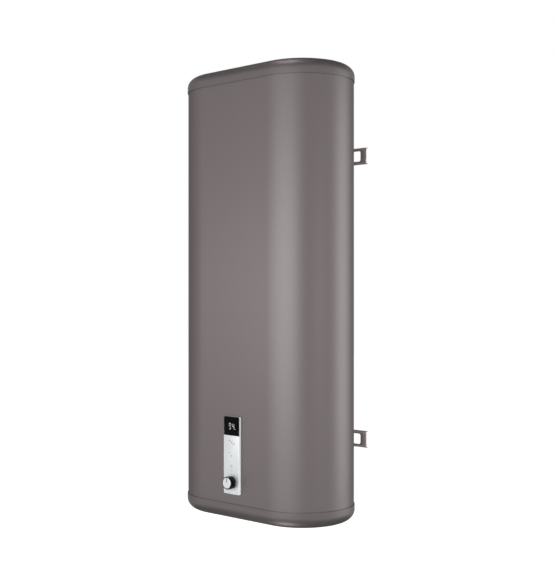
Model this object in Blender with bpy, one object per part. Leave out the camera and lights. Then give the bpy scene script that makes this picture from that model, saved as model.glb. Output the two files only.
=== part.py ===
"""Flat wall-hung storage water heater with two inner tanks, built as separate solids.

Metres, +Z up. The front faces -Y and the wall is on the +Y side. All pieces hang from
one empty, whose origin is on the wall plane behind the upper hook bracket. Heights in
the code are measured from the underside of the bottom lid.
"""
from math import asin, cos, pi, sin, tan

import bmesh
import bpy
from mathutils import Vector

# Overall body, over the lids
BODY_HEIGHT = 1.180
BODY_WIDTH = 0.510
BODY_DEPTH = 0.275

# Clearances between pieces that touch on the real heater
SEAT_GAP = 0.0003
CUT_OVERRUN = 0.004

# Facet counts
END_STEPS = 14
ROUND_STEPS = 4
TANK_SIDES = 18
DOME_STEPS = 3
PIPE_SIDES = 12
SMALL_SIDES = 12
HOLE_SIDES = 8
ELEMENT_SIDES = 8
KNOB_SIDES = 20
CORNER_STEPS = 2
BEND_STEPS = 3

# Pressed lids
LID_HEIGHT = 0.043
LID_LIP = 0.014
LID_ROUND_IN = 0.033
LID_SHEET = 0.001
LID_OVERHANG = 0.002
HEM_HEIGHT = 0.005
HEM_TAPER = 0.0015
LID_OVERLAP = 0.012

# Recessed ledge of the bottom lid, which takes the service cover
LEDGE_INSET = 0.042
LEDGE_SLOPE = 0.002
LEDGE_STEP = 0.003
LEDGE_WIDTH = 0.014

# Casing and insulation
CASING_SHEET = 0.001
FOAM_BOTTOM = 0.062

# Service cover and its screws
COVER_PLATE = 0.0026
COVER_RIB_HEIGHT = 0.006
COVER_RIB = 0.002
COVER_SCREW_RADIUS = 0.002
COVER_SCREW_HEAD_RADIUS = 0.004
COVER_SCREW_HEAD = 0.0024
COVER_SCREW_LENGTH = 0.010

# Tanks
TANK_COVER = 0.020
TANK_SIDE = 0.0185
TANK_PARTING = 0.003
TANK_SHEET = 0.0012
TANK_BOTTOM = 0.070
TANK_CROWN_CLEARANCE = 0.035
DOME_DEPTH = 0.045
CROWN_RADIUS = 0.012

# Tank necks, studs, heating flanges and gaskets
NECK_RADIUS = 0.032
NECK_SHEET = 0.0015
NECK_RING_RADIUS = 0.046
NECK_RING = 0.005
NECK_RING_FACE = 0.049
STUD_CIRCLE = 0.039
STUD_COUNT = 4
STUD_RADIUS = 0.003
STUD_TIP = 0.031
GASKET = 0.0025
GASKET_WIDTH = 0.005
FLANGE_PLATE = 0.004
NUT_FLATS = 0.010
NUT_HEIGHT = 0.005
THREAD_CLEARANCE = 0.0002

# Heating element, anode and thermowell, placed from the neck's axis
ELEMENT_RADIUS = 0.00425
ELEMENT_HALF_SPREAD = 0.013
ELEMENT_SETBACK = 0.014
ELEMENT_TOP = 0.395
ELEMENT_PIN_RADIUS = 0.002
ELEMENT_PIN_TIP = 0.022
ELEMENT_PIN = 0.009
ANODE_RADIUS = 0.0105
ANODE_OFFSET = 0.016
ANODE_LENGTH = 0.300
ANODE_STUD_RADIUS = 0.003
ANODE_STUD_TIP = 0.032
ANODE_TIP_SHARE = 0.7
WELL_RADIUS = 0.005
WELL_WALL = 0.001
WELL_OFFSET_X = 0.018
WELL_OFFSET_Y = 0.006
WELL_TIP = 0.036
WELL_LENGTH = 0.300

# Water pipes
PIPE_SETBACK = 0.069
NIPPLE_RADIUS = 0.0105
NIPPLE_BORE = 0.0075
NIPPLE_DROP = 0.022
NIPPLE_THREAD = 0.018
NIPPLE_THREAD_RELIEF = 0.0004
NIPPLE_TOP = 0.100
DIFFUSER_SLOT = 0.008
DIFFUSER_SLOT_HEIGHT = 0.012
STANDPIPE_RADIUS = 0.008
STANDPIPE_BORE = 0.0068
STANDPIPE_CROWN_GAP = 0.020
TRANSFER_SETBACK = 0.035
TRANSFER_Y = 0.056
TRANSFER_BEND = 0.020
TRANSFER_DROP = 0.040
TRANSFER_OUTLET = 0.105

# Coloured collars round the nipples
COLLAR_RADIUS = 0.017
COLLAR_FLANGE = 0.002
COLLAR_BARREL = 0.002
COLLAR_HEIGHT = 0.006

# Hook brackets on the back
UPPER_BRACKET_DROP = 0.226
LOWER_BRACKET_HEIGHT = 0.201
BRACKET_INSET = 0.0395
BRACKET_WIDTH = 0.0437
BRACKET_SHEET = 0.002
BRACKET_BEND = 0.0015
BRACKET_LIP = 0.008
WALL_STANDOFF = 0.017
WINDOW_EDGE = 0.019
WINDOW_WIDTH = 0.060
WINDOW_HEIGHT = 0.0273
WINDOW_CORNER = 0.004
FOOT_OFFSET_SHARE = 0.51
FOOT_LENGTH_SHARE = 0.54
FOOT_WIDTH = 0.034
FOOT_FLARE = 0.005

# Bracket bolts and the hanger plates behind the casing
BOLT_RADIUS = 0.004
BOLT_LENGTH = 0.0115
BOLT_HEAD_FLATS = 0.013
BOLT_HEAD = 0.005
BOLT_WASHER_RADIUS = 0.0085
BOLT_WASHER = 0.0015
HANGER_END_GAP = 0.0005
HANGER_WIDTH = 0.036
HANGER_SHEET = 0.002
HANGER_PAD_MARGIN = 0.001
HANGER_PAD_LENGTH_SHARE = 0.29
HANGER_PAD_WIDTH = 0.032
HANGER_PAD_FLARE = 0.009
PAD_RELIEF = 0.002
WELD_NUT_RADIUS = 0.008
WELD_NUT = 0.006

# Control panel on the front
PANEL_WIDTH = 0.0556
PANEL_HEIGHT = 0.200
PANEL_BOTTOM = 0.070
PANEL_PROUD = 0.007
PANEL_CORNER = 0.003
PANEL_INNER_CORNER = 0.002
BEZEL_RIM = 0.0008
BEZEL_CHAMFER = 0.0004
BEZEL_LEDGE = 0.002
BEZEL_COLLAR_INSET = 0.0033
BEZEL_COLLAR_WALL = 0.0015
BEZEL_COLLAR_DEPTH = 0.006
DISPLAY_HEIGHT = 0.0477

# Box and boards behind the panel
BOX_WALL = 0.002
BOX_DEPTH = 0.044
PILLAR_RADIUS = 0.003
PILLAR_INSET = 0.006
BOARD_SHEET = 0.0016
BOARD_MARGIN = 0.002
BOARD_DEPTH = 0.018
MODULE_WIDTH = 0.040
MODULE_HEIGHT = 0.030
MODULE_WINDOW_GAP = 0.003

# Temperature knob, on the panel's centre line
KNOB_HEIGHT = 0.100
KNOB_RADIUS = 0.017
KNOB_FRONT_RADIUS = 0.0167
KNOB_LENGTH = 0.0168
KNOB_LIFT = 0.0006
KNOB_WALL = 0.002
KNOB_HUB_RADIUS = 0.006
KNOB_FACE_WALL = 0.003
KNOB_EDGE = 0.0003
CAP_RADIUS = 0.0147
CAP_THICKNESS = 0.0015
CAP_CHAMFER = 0.0004
CAP_SEAT = 0.0009
POINTER_WIDTH = 0.0012
POINTER_DEPTH = 0.0004
POINTER_START = 0.003
RING_RADIUS = 0.0203
RING_WIDTH = 0.0007
RING_DEPTH = 0.0005
SPINDLE_RADIUS = 0.003
SPINDLE_FLAT = 0.0022
POT_RADIUS = 0.0085
POT_DEPTH = 0.008
POT_BUSH_RADIUS = 0.0045
POT_BUSH = 0.004
SPINDLE_ENTRY = 0.005

# Component plate under the insulation, and what hangs from it
PLATE_SHEET = 0.0015
PLATE_HALF_WIDTH = 0.070
PLATE_FRONT_GAP = 0.0195
PLATE_BACK = -0.030
STANDOFF_RADIUS = 0.004
STANDOFF = 0.008
POWER_BOARD_WIDTH = 0.072
POWER_BOARD_DEPTH_SHARE = 0.64
POWER_BOARD_X = -0.028
POWER_BOARD_INSET = 0.004
POWER_BOARD_MARGIN = 0.005
RELAY_LENGTH = 0.020
RELAY_WIDTH = 0.016
RELAY_HEIGHT = 0.015
RELAY_COUNT = 2
SOCKET_LENGTH = 0.018
SOCKET_WIDTH = 0.008
SOCKET_HEIGHT = 0.009
SOCKET_EDGE = 0.004
CUTOUT_X = 0.041
CUTOUT_INSET = 0.003
CUTOUT_LENGTH = 0.044
CUTOUT_WIDTH = 0.030
CUTOUT_HEIGHT = 0.020
CUTOUT_NOSE_RADIUS = 0.0065
CUTOUT_NOSE = 0.004
BUTTON_RADIUS = 0.0032
BUTTON_GUIDE = 0.0055
BUTTON_SHOW = 0.0025
BUTTON_TRAVEL = 0.002
BUTTON_CLEARANCE = 0.0003
BLOCK_X = 0.041
BLOCK_INSET = 0.004
BLOCK_LENGTH = 0.044
BLOCK_WIDTH = 0.018
BLOCK_HEIGHT = 0.016
BLOCK_WAYS = 3
BLOCK_BORE_RADIUS = 0.003

# Cable gland in the service cover, and the lead from panel to power board
GLAND_X = 0.0
GLAND_INSET = 0.0195
GLAND_FLATS = 0.022
GLAND_FLANGE = 0.005
GLAND_THREAD_RADIUS = 0.008
GLAND_THREAD = 0.012
GLAND_DOME_RADIUS = 0.0095
GLAND_DOME = 0.009
GLAND_BORE = 0.0045
LEAD_RADIUS = 0.0025
LEAD_BEND = 0.006

# Sizes that follow from the ones above
END_RADIUS = BODY_DEPTH / 2
FLAT_HALF = (BODY_WIDTH - BODY_DEPTH) / 2
LID_RISE = LID_HEIGHT - LID_LIP
CASING_LOW = LID_HEIGHT - LID_OVERLAP
CASING_HIGH = BODY_HEIGHT - CASING_LOW
CASING_INNER = LID_OVERHANG + CASING_SHEET
CASING_FACE = END_RADIUS - LID_OVERHANG
FOAM_INSET = CASING_INNER + SEAT_GAP
WALL_PLANE = END_RADIUS + WALL_STANDOFF
UPPER_BRACKET_HEIGHT = BODY_HEIGHT - UPPER_BRACKET_DROP
HOOK_HEIGHT = UPPER_BRACKET_HEIGHT + (BRACKET_WIDTH - BRACKET_SHEET) / 2
LEDGE_INNER = LEDGE_INSET + LEDGE_SLOPE + LEDGE_WIDTH
LEDGE_MIDDLE = LEDGE_INNER - LEDGE_WIDTH / 2
COVER_TOP = LEDGE_STEP - SEAT_GAP
COVER_FACE = COVER_TOP - COVER_PLATE
TANK_RADIUS = min(END_RADIUS - TANK_COVER, (BODY_WIDTH / 2 - TANK_SIDE - TANK_PARTING / 2) / 2)
TANK_X = BODY_WIDTH / 2 - TANK_SIDE - TANK_RADIUS
PIPE_OFFSET = TANK_X - PIPE_SETBACK
TRANSFER_X = TANK_X - TRANSFER_SETBACK
TANK_TOP = BODY_HEIGHT - TANK_CROWN_CLEARANCE
NECK_BORE = NECK_RADIUS - NECK_SHEET
NIPPLE_WALL = NIPPLE_RADIUS - NIPPLE_BORE
FLANGE_TOP = NECK_RING_FACE - GASKET - 2 * SEAT_GAP
FLANGE_BOTTOM = FLANGE_TOP - FLANGE_PLATE
BRACKET_WEB = WALL_PLANE - CASING_FACE - BRACKET_LIP
BRACKET_LENGTH = BODY_WIDTH - 2 * BRACKET_INSET
FOOT_OFFSET = FLAT_HALF * FOOT_OFFSET_SHARE
FOOT_LENGTH = FLAT_HALF * FOOT_LENGTH_SHARE
HANGER_LENGTH = 2 * (FLAT_HALF - HANGER_END_GAP)
HANGER_PAD_LENGTH = FLAT_HALF * HANGER_PAD_LENGTH_SHARE
HANGER_PAD_OFFSET = HANGER_LENGTH / 2 - HANGER_PAD_MARGIN - HANGER_PAD_LENGTH / 2
HANGER_FACE = -(CASING_SHEET + SEAT_GAP + HANGER_SHEET)
HANGER_PAD_FACE = TANK_RADIUS * cos(pi / TANK_SIDES) + SEAT_GAP - CASING_FACE
PANEL_CENTRE = PANEL_BOTTOM + PANEL_HEIGHT / 2
PANEL_FACE = PANEL_PROUD - SEAT_GAP
BOX_INNER_WIDTH = PANEL_WIDTH - 2 * (BEZEL_COLLAR_INSET - SEAT_GAP)
BOX_INNER_HEIGHT = PANEL_HEIGHT - 2 * (BEZEL_COLLAR_INSET - SEAT_GAP)
BOX_WIDTH = BOX_INNER_WIDTH + 2 * BOX_WALL
BOX_HEIGHT = BOX_INNER_HEIGHT + 2 * BOX_WALL
BOX_MOUTH = -(CASING_SHEET + SEAT_GAP)
BOX_FLOOR = BOX_MOUTH - BOX_DEPTH
KNOB_Y = KNOB_HEIGHT - PANEL_CENTRE
KNOB_BACK = PANEL_FACE + KNOB_LIFT
KNOB_FRONT = KNOB_BACK + KNOB_LENGTH
PLATE_UNDERSIDE = FOAM_BOTTOM - SEAT_GAP - PLATE_SHEET
PLATE_FRONT = PLATE_FRONT_GAP - END_RADIUS
PLATE_DEPTH = PLATE_BACK - PLATE_FRONT
POWER_BOARD_DEPTH = PLATE_DEPTH * POWER_BOARD_DEPTH_SHARE
POWER_BOARD_Y = PLATE_FRONT + POWER_BOARD_INSET + POWER_BOARD_DEPTH / 2
CUTOUT_Y = PLATE_FRONT + CUTOUT_INSET + CUTOUT_WIDTH / 2
BLOCK_Y = PLATE_BACK - BLOCK_INSET - BLOCK_WIDTH / 2
BUTTON_LENGTH = BUTTON_SHOW + BUTTON_TRAVEL + BUTTON_GUIDE
GLAND_Y = LEDGE_INNER + GLAND_INSET - END_RADIUS
SOCKET_FOOT = PANEL_CENTRE - BOX_INNER_HEIGHT / 2 + BOARD_MARGIN + SOCKET_EDGE
LEAD_X = POWER_BOARD_X + POWER_BOARD_WIDTH / 4
LEAD_Y = -CASING_FACE + BOARD_DEPTH - SOCKET_HEIGHT / 2


def finish(name, colour, roughness, metallic):
    """Make the finish of one sub-part."""
    material = bpy.data.materials.new(name)
    material.use_nodes = True
    shader = material.node_tree.nodes["Principled BSDF"]
    shader.inputs["Base Color"].default_value = (*colour, 1)
    shader.inputs["Roughness"].default_value = roughness
    shader.inputs["Metallic"].default_value = metallic
    material.diffuse_color = (*colour, 1)
    return material


def datum(name, parent, location=(0, 0, 0), rotation=(0, 0, 0)):
    """Make an empty that carries pieces."""
    empty = bpy.data.objects.new(name, None)
    bpy.context.scene.collection.objects.link(empty)
    empty.parent = parent
    empty.location = location
    empty.rotation_euler = rotation
    return empty


def place(name, solid, material, parent, location=(0, 0, 0)):
    """Make a named object from a solid, with its finish, under what carries it."""
    bmesh.ops.recalc_face_normals(solid, faces=solid.faces)
    mesh = bpy.data.meshes.new(name)
    solid.to_mesh(mesh)
    solid.free()
    mesh.shade_smooth()
    mesh.set_sharp_from_angle(angle=pi / 6)
    if material:
        mesh.materials.append(material)
    piece = bpy.data.objects.new(name, mesh)
    bpy.context.scene.collection.objects.link(piece)
    piece.parent = parent
    piece.location = location
    return piece


def combine(piece, tool, operation, name, parent=None):
    """Cut a tool from a piece or join one to it; the tool stays as a hidden guide."""
    if parent:
        guide = place(name, tool, None, parent)
    else:
        guide = place(name, tool, None, piece.parent, piece.location)
    guide.hide_render = True
    guide.display_type = 'WIRE'
    boolean = piece.modifiers.new(name, 'BOOLEAN')
    boolean.operation = operation
    boolean.solver = 'EXACT'
    boolean.object = guide


def cut(piece, tool, name, parent=None):
    combine(piece, tool, 'DIFFERENCE', name, parent)


def join(piece, tool, name):
    combine(piece, tool, 'UNION', name)


def soften(piece, width, segments=2):
    """Round a piece's edges with a bevel."""
    bevel = piece.modifiers.new("edges", 'BEVEL')
    bevel.width = width
    bevel.segments = segments
    bevel.limit_method = 'ANGLE'
    bevel.angle_limit = pi / 4
    bevel.harden_normals = False


def arc(centre, radii, start, end, steps):
    """Points of an elliptical arc in its own plane, both ends included."""
    turn = (end - start) / steps
    points = []
    for step in range(steps + 1):
        angle = start + turn * step
        points.append((centre[0] + radii[0] * cos(angle), centre[1] + radii[1] * sin(angle)))
    return points


def skin(rings, joined=False):
    """Skin equal rings in order; joined closes the last on the first, else both ends are filled."""
    solid = bmesh.new()
    loops = [[solid.verts.new(point) for point in ring] for ring in rings]
    pairs = list(zip(loops, loops[1:]))
    if joined:
        pairs.append((loops[-1], loops[0]))
    for near, far in pairs:
        for index, vertex in enumerate(near):
            solid.faces.new((near[index - 1], vertex, far[index], far[index - 1]))
    if not joined:
        solid.faces.new(loops[0])
        solid.faces.new(loops[-1])
    return solid


def gathered(solids):
    """Put separate solids together, as one tool that cuts or joins them all."""
    together = bmesh.new()
    for solid in solids:
        mesh = bpy.data.meshes.new("part_of_tool")
        solid.to_mesh(mesh)
        solid.free()
        together.from_mesh(mesh)
        bpy.data.meshes.remove(mesh)
    return together


def circle(radius, height, sides, centre=(0, 0)):
    """Ring of points round an upright axis, with a flat across each main direction."""
    points = []
    for side in range(sides):
        angle = 2 * pi * (side + 0.5) / sides
        points.append(Vector((centre[0] + radius * cos(angle), centre[1] + radius * sin(angle), height)))
    return points


def turned(profile, sides, joined=False, centre=(0, 0)):
    """Solid of revolution from (radius, height) points."""
    return skin([circle(radius, height, sides, centre) for radius, height in profile], joined)


def bores(centres, radius, low, high, sides=HOLE_SIDES):
    """Upright cutters whose flats lie at the radius, so that a round piece clears them."""
    outer = radius / cos(pi / sides)
    return gathered([turned([(outer, low), (outer, high)], sides, centre=centre) for centre in centres])


def pins(centres, radius, low, high, sides=HOLE_SIDES):
    """Upright round pins."""
    return gathered([turned([(radius, low), (radius, high)], sides, centre=centre) for centre in centres])


def block(width, length, low, high, centre=(0, 0)):
    """Upright box round a centre."""
    rings = []
    for height in (low, high):
        ring = []
        for side_x, side_y in ((-1, -1), (1, -1), (1, 1), (-1, 1)):
            ring.append(Vector((centre[0] + side_x * width / 2, centre[1] + side_y * length / 2, height)))
        rings.append(ring)
    return skin(rings)


def rounded_rectangle(width, length, corner, height, centre=(0, 0)):
    """Ring round a rectangle with round corners."""
    points = []
    for quarter, (side_x, side_y) in enumerate(((1, 1), (-1, 1), (-1, -1), (1, -1))):
        middle = (
            centre[0] + side_x * (width / 2 - corner),
            centre[1] + side_y * (length / 2 - corner),
        )
        start = quarter * pi / 2
        points += arc(middle, (corner, corner), start, start + pi / 2, CORNER_STEPS)
    return [Vector((x, y, height)) for x, y in points]


def body_ring(inset, height):
    """Ring round the body: flat front and back, half-round ends, drawn in by an inset."""
    radius = END_RADIUS - inset
    right = arc((FLAT_HALF, 0), (radius, radius), -pi / 2, pi / 2, END_STEPS)
    left = arc((-FLAT_HALF, 0), (radius, radius), pi / 2, 3 * pi / 2, END_STEPS)
    return [Vector((x, y, height)) for x, y in right + left]


def body_skin(profile, joined=False):
    """Carry a section of (inset, height) points round the body."""
    return skin([body_ring(inset, height) for inset, height in profile], joined)


def panel_ring(inset, height):
    """Ring round the control panel, drawn in by an inset, at a height above the casing."""
    corner = max(PANEL_CORNER - inset, PANEL_INNER_CORNER)
    return rounded_rectangle(PANEL_WIDTH - 2 * inset, PANEL_HEIGHT - 2 * inset, corner, height)


def round_path(corners, bend, steps):
    """Points of a bent pipe: straight runs joined by arcs of one radius."""
    path = [Vector(corners[0])]
    for before, corner, after in zip(corners, corners[1:], corners[2:]):
        ahead = (Vector(corner) - Vector(before)).normalized()
        onward = (Vector(after) - Vector(corner)).normalized()
        turn = ahead.angle(onward)
        inward = (onward - ahead * ahead.dot(onward)).normalized()
        start = Vector(corner) - ahead * bend * tan(turn / 2)
        middle = start + inward * bend
        for step in range(steps + 1):
            angle = turn * step / steps
            path.append(middle + bend * (ahead * sin(angle) - inward * cos(angle)))
    path.append(Vector(corners[-1]))
    return path


def along(path, radii, sides):
    """Rings square to a path, one at each point, with their own radii."""
    rings = []
    ahead = (path[1] - path[0]).normalized()
    across = ahead.orthogonal().normalized()
    for index, point in enumerate(path):
        before = path[max(index - 1, 0)]
        after = path[min(index + 1, len(path) - 1)]
        onward = (after - before).normalized()
        across = ahead.rotation_difference(onward) @ across
        ahead = onward
        beside = ahead.cross(across)
        ring = []
        for side in range(sides):
            angle = 2 * pi * side / sides
            ring.append(point + radii[index] * (across * cos(angle) + beside * sin(angle)))
        rings.append(ring)
    return rings


def hollow_tube(path, radius, bore, sides):
    """Open-ended tube along a path."""
    outside = along(path, [radius] * len(path), sides)
    inside = along(path, [bore] * len(path), sides)
    return skin(outside + inside[::-1], joined=True)


def lid_section():
    """Outer and inner faces of a pressed lid, as insets and depths below its flat face."""
    outer = []
    inner = []
    for step in range(ROUND_STEPS + 1):
        angle = pi / 2 * step / ROUND_STEPS
        outer.append((LID_ROUND_IN * (1 - sin(angle)), LID_RISE * (1 - cos(angle))))
        inner.append((
            LID_ROUND_IN - (LID_ROUND_IN - LID_SHEET) * sin(angle),
            LID_RISE - (LID_RISE - LID_SHEET) * cos(angle),
        ))
    hem = LID_OVERHANG - SEAT_GAP
    lip = [
        (0, LID_HEIGHT),
        (hem, LID_HEIGHT),
        (hem, LID_HEIGHT - HEM_HEIGHT),
        (LID_SHEET, LID_HEIGHT - HEM_HEIGHT - HEM_TAPER),
    ]
    return outer, lip, inner[::-1]


def casing(body, panel):
    """Painted sheet wrapped round the body, with an opening for the control panel."""
    section = [
        (LID_OVERHANG, CASING_LOW),
        (LID_OVERHANG, CASING_HIGH),
        (CASING_INNER, CASING_HIGH),
        (CASING_INNER, CASING_LOW),
    ]
    paint = finish("casing_paint", (0.205, 0.180, 0.178), 0.38, 0.55)
    shell = place("casing_shell", body_skin(section, joined=True), paint, body)
    low = -CASING_SHEET - CUT_OVERRUN
    rings = [panel_ring(BEZEL_COLLAR_INSET - SEAT_GAP, height) for height in (low, CUT_OVERRUN)]
    cut(shell, skin(rings), "panel_opening", panel)
    return shell


def top_lid(body):
    outer, lip, inner = lid_section()
    section = [(inset, BODY_HEIGHT - depth) for inset, depth in outer + lip + inner]
    paint = finish("top_lid_paint", (0.190, 0.166, 0.164), 0.40, 0.55)
    return place("top_lid", body_skin(section), paint, body)


def bottom_lid(body):
    """Pressed lid with a recessed ledge round the service opening."""
    outer, lip, inner = lid_section()
    ledge = [
        (LEDGE_INNER, LEDGE_STEP),
        (LEDGE_INSET + LEDGE_SLOPE, LEDGE_STEP),
        (LEDGE_INSET, 0),
    ]
    back = [(inset, height + LID_SHEET) for inset, height in reversed(ledge)]
    paint = finish("bottom_lid_paint", (0.190, 0.166, 0.164), 0.40, 0.55)
    lid = place("bottom_lid", body_skin(ledge + outer + lip + inner + back, joined=True), paint, body)
    holes = bores(cover_screw_places(), COVER_SCREW_RADIUS + SEAT_GAP, 0, CUT_OVERRUN + LEDGE_STEP)
    cut(lid, holes, "ledge_screw_holes")
    return lid


def cover_screw_places():
    reach = END_RADIUS - LEDGE_MIDDLE
    return [(x, y) for x in (-FLAT_HALF, FLAT_HALF) for y in (-reach, reach)]


def nipple_places():
    return [(-PIPE_OFFSET, 0), (PIPE_OFFSET, 0)]


def service_cover(body):
    """Moulded cover in the bottom lid: a plate with a locating rib, pierced by the nipples and the gland."""
    edge = LEDGE_INSET + LEDGE_SLOPE + SEAT_GAP
    rib = LEDGE_INNER + SEAT_GAP
    section = [
        (edge, COVER_FACE),
        (edge, COVER_TOP),
        (rib, COVER_TOP),
        (rib, COVER_TOP + COVER_RIB_HEIGHT),
        (rib + COVER_RIB, COVER_TOP + COVER_RIB_HEIGHT),
        (rib + COVER_RIB, COVER_TOP),
    ]
    plastic = finish("service_cover_plastic", (0.165, 0.150, 0.148), 0.55, 0)
    cover = place("service_cover", body_skin(section), plastic, body)
    low = COVER_FACE - CUT_OVERRUN
    high = COVER_TOP + CUT_OVERRUN
    collar = NIPPLE_RADIUS + SEAT_GAP + COLLAR_BARREL + SEAT_GAP
    cut(cover, gathered([
        bores(cover_screw_places(), COVER_SCREW_RADIUS + SEAT_GAP, low, high),
        bores(nipple_places(), collar, low, high, PIPE_SIDES),
        bores([(GLAND_X, GLAND_Y)], GLAND_THREAD_RADIUS + SEAT_GAP, low, high, PIPE_SIDES),
    ]), "cover_holes")
    return cover


def cover_screws(body):
    """Pan-head screws that hold the service cover to the ledge."""
    steel = finish("cover_screw_steel", (0.55, 0.55, 0.55), 0.32, 1)
    seat = COVER_FACE - SEAT_GAP
    crown = seat - COVER_SCREW_HEAD
    section = [
        (COVER_SCREW_HEAD_RADIUS / 2, crown),
        (COVER_SCREW_HEAD_RADIUS, crown + COVER_SCREW_HEAD / 2),
        (COVER_SCREW_HEAD_RADIUS, seat),
        (COVER_SCREW_RADIUS, seat),
        (COVER_SCREW_RADIUS, seat + COVER_SCREW_LENGTH),
    ]
    for number, (x, y) in enumerate(cover_screw_places(), start=1):
        place(f"cover_screw_{number}", turned(section, HOLE_SIDES), steel, body, (x, y, 0))


def tank_section(grow):
    """Outside of a tank from its neck to its crown as (radius, height), grown by a clearance."""
    radius = TANK_RADIUS + grow
    depth = DOME_DEPTH + grow
    neck = asin((NECK_RADIUS + grow) / radius)
    crown = asin(CROWN_RADIUS / radius)
    section = []
    for step in range(DOME_STEPS + 1):
        angle = neck + (pi / 2 - neck) * step / DOME_STEPS
        section.append((radius * sin(angle), TANK_BOTTOM + DOME_DEPTH - depth * cos(angle)))
    for step in range(DOME_STEPS + 1):
        angle = pi / 2 + (crown - pi / 2) * step / DOME_STEPS
        section.append((radius * sin(angle), TANK_TOP - DOME_DEPTH + depth * cos(angle)))
    return section


def stud_places():
    spread = []
    for stud in range(STUD_COUNT):
        angle = pi / STUD_COUNT + 2 * pi * stud / STUD_COUNT
        spread.append((STUD_CIRCLE * cos(angle), STUD_CIRCLE * sin(angle)))
    return spread


def tank(name, side, body):
    """Welded water tank: domed ends, a neck with a stud ring, and holes for its two pipes."""
    outside = tank_section(0)[::-1]
    ring = [
        (NECK_RADIUS, NECK_RING_FACE + NECK_RING),
        (NECK_RING_RADIUS, NECK_RING_FACE + NECK_RING),
        (NECK_RING_RADIUS, NECK_RING_FACE),
        (NECK_BORE, NECK_RING_FACE),
    ]
    inside = [(NECK_BORE, TANK_BOTTOM)] + tank_section(-TANK_SHEET)[1:]
    steel = finish(name + "_steel", (0.62, 0.61, 0.60), 0.35, 1)
    vessel = place(name, turned(outside + ring + inside, TANK_SIDES), steel, body, (side * TANK_X, 0, 0))
    studs = pins(stud_places(), STUD_RADIUS, STUD_TIP, NECK_RING_FACE + NECK_RING / 2)
    join(vessel, studs, name + "_studs")
    high = TANK_BOTTOM + DOME_DEPTH
    cut(vessel, gathered([
        bores([(side * (PIPE_OFFSET - TANK_X), 0)], NIPPLE_RADIUS + SEAT_GAP, FOAM_BOTTOM, high, PIPE_SIDES),
        bores([(side * (TRANSFER_X - TANK_X), TRANSFER_Y)], STANDPIPE_RADIUS + SEAT_GAP, FOAM_BOTTOM, high),
    ]), name + "_pipe_holes")
    return vessel


def insulation(body, panel, upper, lower):
    """Foamed block that fills the casing round the tanks, with pockets for what it holds."""
    section = [(FOAM_INSET, FOAM_BOTTOM)]
    for step in range(ROUND_STEPS + 1):
        angle = pi / 2 * (1 - step / ROUND_STEPS)
        section.append((
            LID_ROUND_IN - (LID_ROUND_IN - FOAM_INSET) * sin(angle),
            BODY_HEIGHT - LID_RISE + (LID_RISE - LID_SHEET - SEAT_GAP) * cos(angle),
        ))
    foam = finish("insulation_foam_cells", (0.86, 0.78, 0.56), 0.9, 0)
    block_of_foam = place("insulation_foam", body_skin(section), foam, body)
    low = FOAM_BOTTOM - CUT_OVERRUN
    cavity = [(NECK_RADIUS + SEAT_GAP, low)] + tank_section(SEAT_GAP)
    cut(block_of_foam, gathered([
        turned(cavity, TANK_SIDES, centre=(-TANK_X, 0)),
        turned(cavity, TANK_SIDES, centre=(TANK_X, 0)),
    ]), "tank_cavities")
    high = TANK_BOTTOM + DOME_DEPTH / 2
    transfer = [(-TRANSFER_X, TRANSFER_Y), (TRANSFER_X, TRANSFER_Y)]
    cut(block_of_foam, gathered([
        bores(nipple_places(), NIPPLE_RADIUS + SEAT_GAP, low, high, PIPE_SIDES),
        bores(transfer, STANDPIPE_RADIUS + SEAT_GAP, low, high),
        bores([(LEAD_X, LEAD_Y)], LEAD_RADIUS + SEAT_GAP, low, high),
    ]), "pipe_channels")
    pocket = [
        rounded_rectangle(BOX_WIDTH + 2 * SEAT_GAP, BOX_HEIGHT + 2 * SEAT_GAP, PANEL_CORNER, height)
        for height in (BOX_FLOOR - SEAT_GAP, CUT_OVERRUN)
    ]
    cut(block_of_foam, skin(pocket), "panel_pocket", panel)
    for name, wall in (("upper", upper), ("lower", lower)):
        pocket = hanger_solid(SEAT_GAP, CUT_OVERRUN - HANGER_PAD_FACE, PAD_RELIEF)
        cut(block_of_foam, pocket, name + "_hanger_pocket", wall)
        nuts = pins(bolt_places(), WELD_NUT_RADIUS + SEAT_GAP, HANGER_FACE - WELD_NUT - SEAT_GAP, 0)
        cut(block_of_foam, nuts, name + "_nut_pockets", wall)
    return block_of_foam


def cold_inlet(body):
    """Threaded nipple that ends in a slotted diffuser inside the right tank."""
    relief = NIPPLE_RADIUS - NIPPLE_THREAD_RELIEF
    section = [
        (NIPPLE_RADIUS, NIPPLE_TOP),
        (NIPPLE_RADIUS, NIPPLE_THREAD - NIPPLE_DROP),
        (relief, NIPPLE_THREAD - NIPPLE_DROP - NIPPLE_THREAD_RELIEF),
        (relief, -NIPPLE_DROP),
        (NIPPLE_BORE, -NIPPLE_DROP),
        (NIPPLE_BORE, NIPPLE_TOP - NIPPLE_WALL),
    ]
    steel = finish("cold_inlet_steel", (0.60, 0.60, 0.60), 0.30, 1)
    pipe = place("cold_inlet_pipe", turned(section, PIPE_SIDES), steel, body, (PIPE_OFFSET, 0, 0))
    high = NIPPLE_TOP - 2 * NIPPLE_WALL
    low = high - DIFFUSER_SLOT_HEIGHT
    reach = 2 * (NIPPLE_RADIUS + CUT_OVERRUN)
    slots = block(DIFFUSER_SLOT, reach, low, high)
    cut(pipe, slots, "diffuser_slots")
    return pipe


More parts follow.
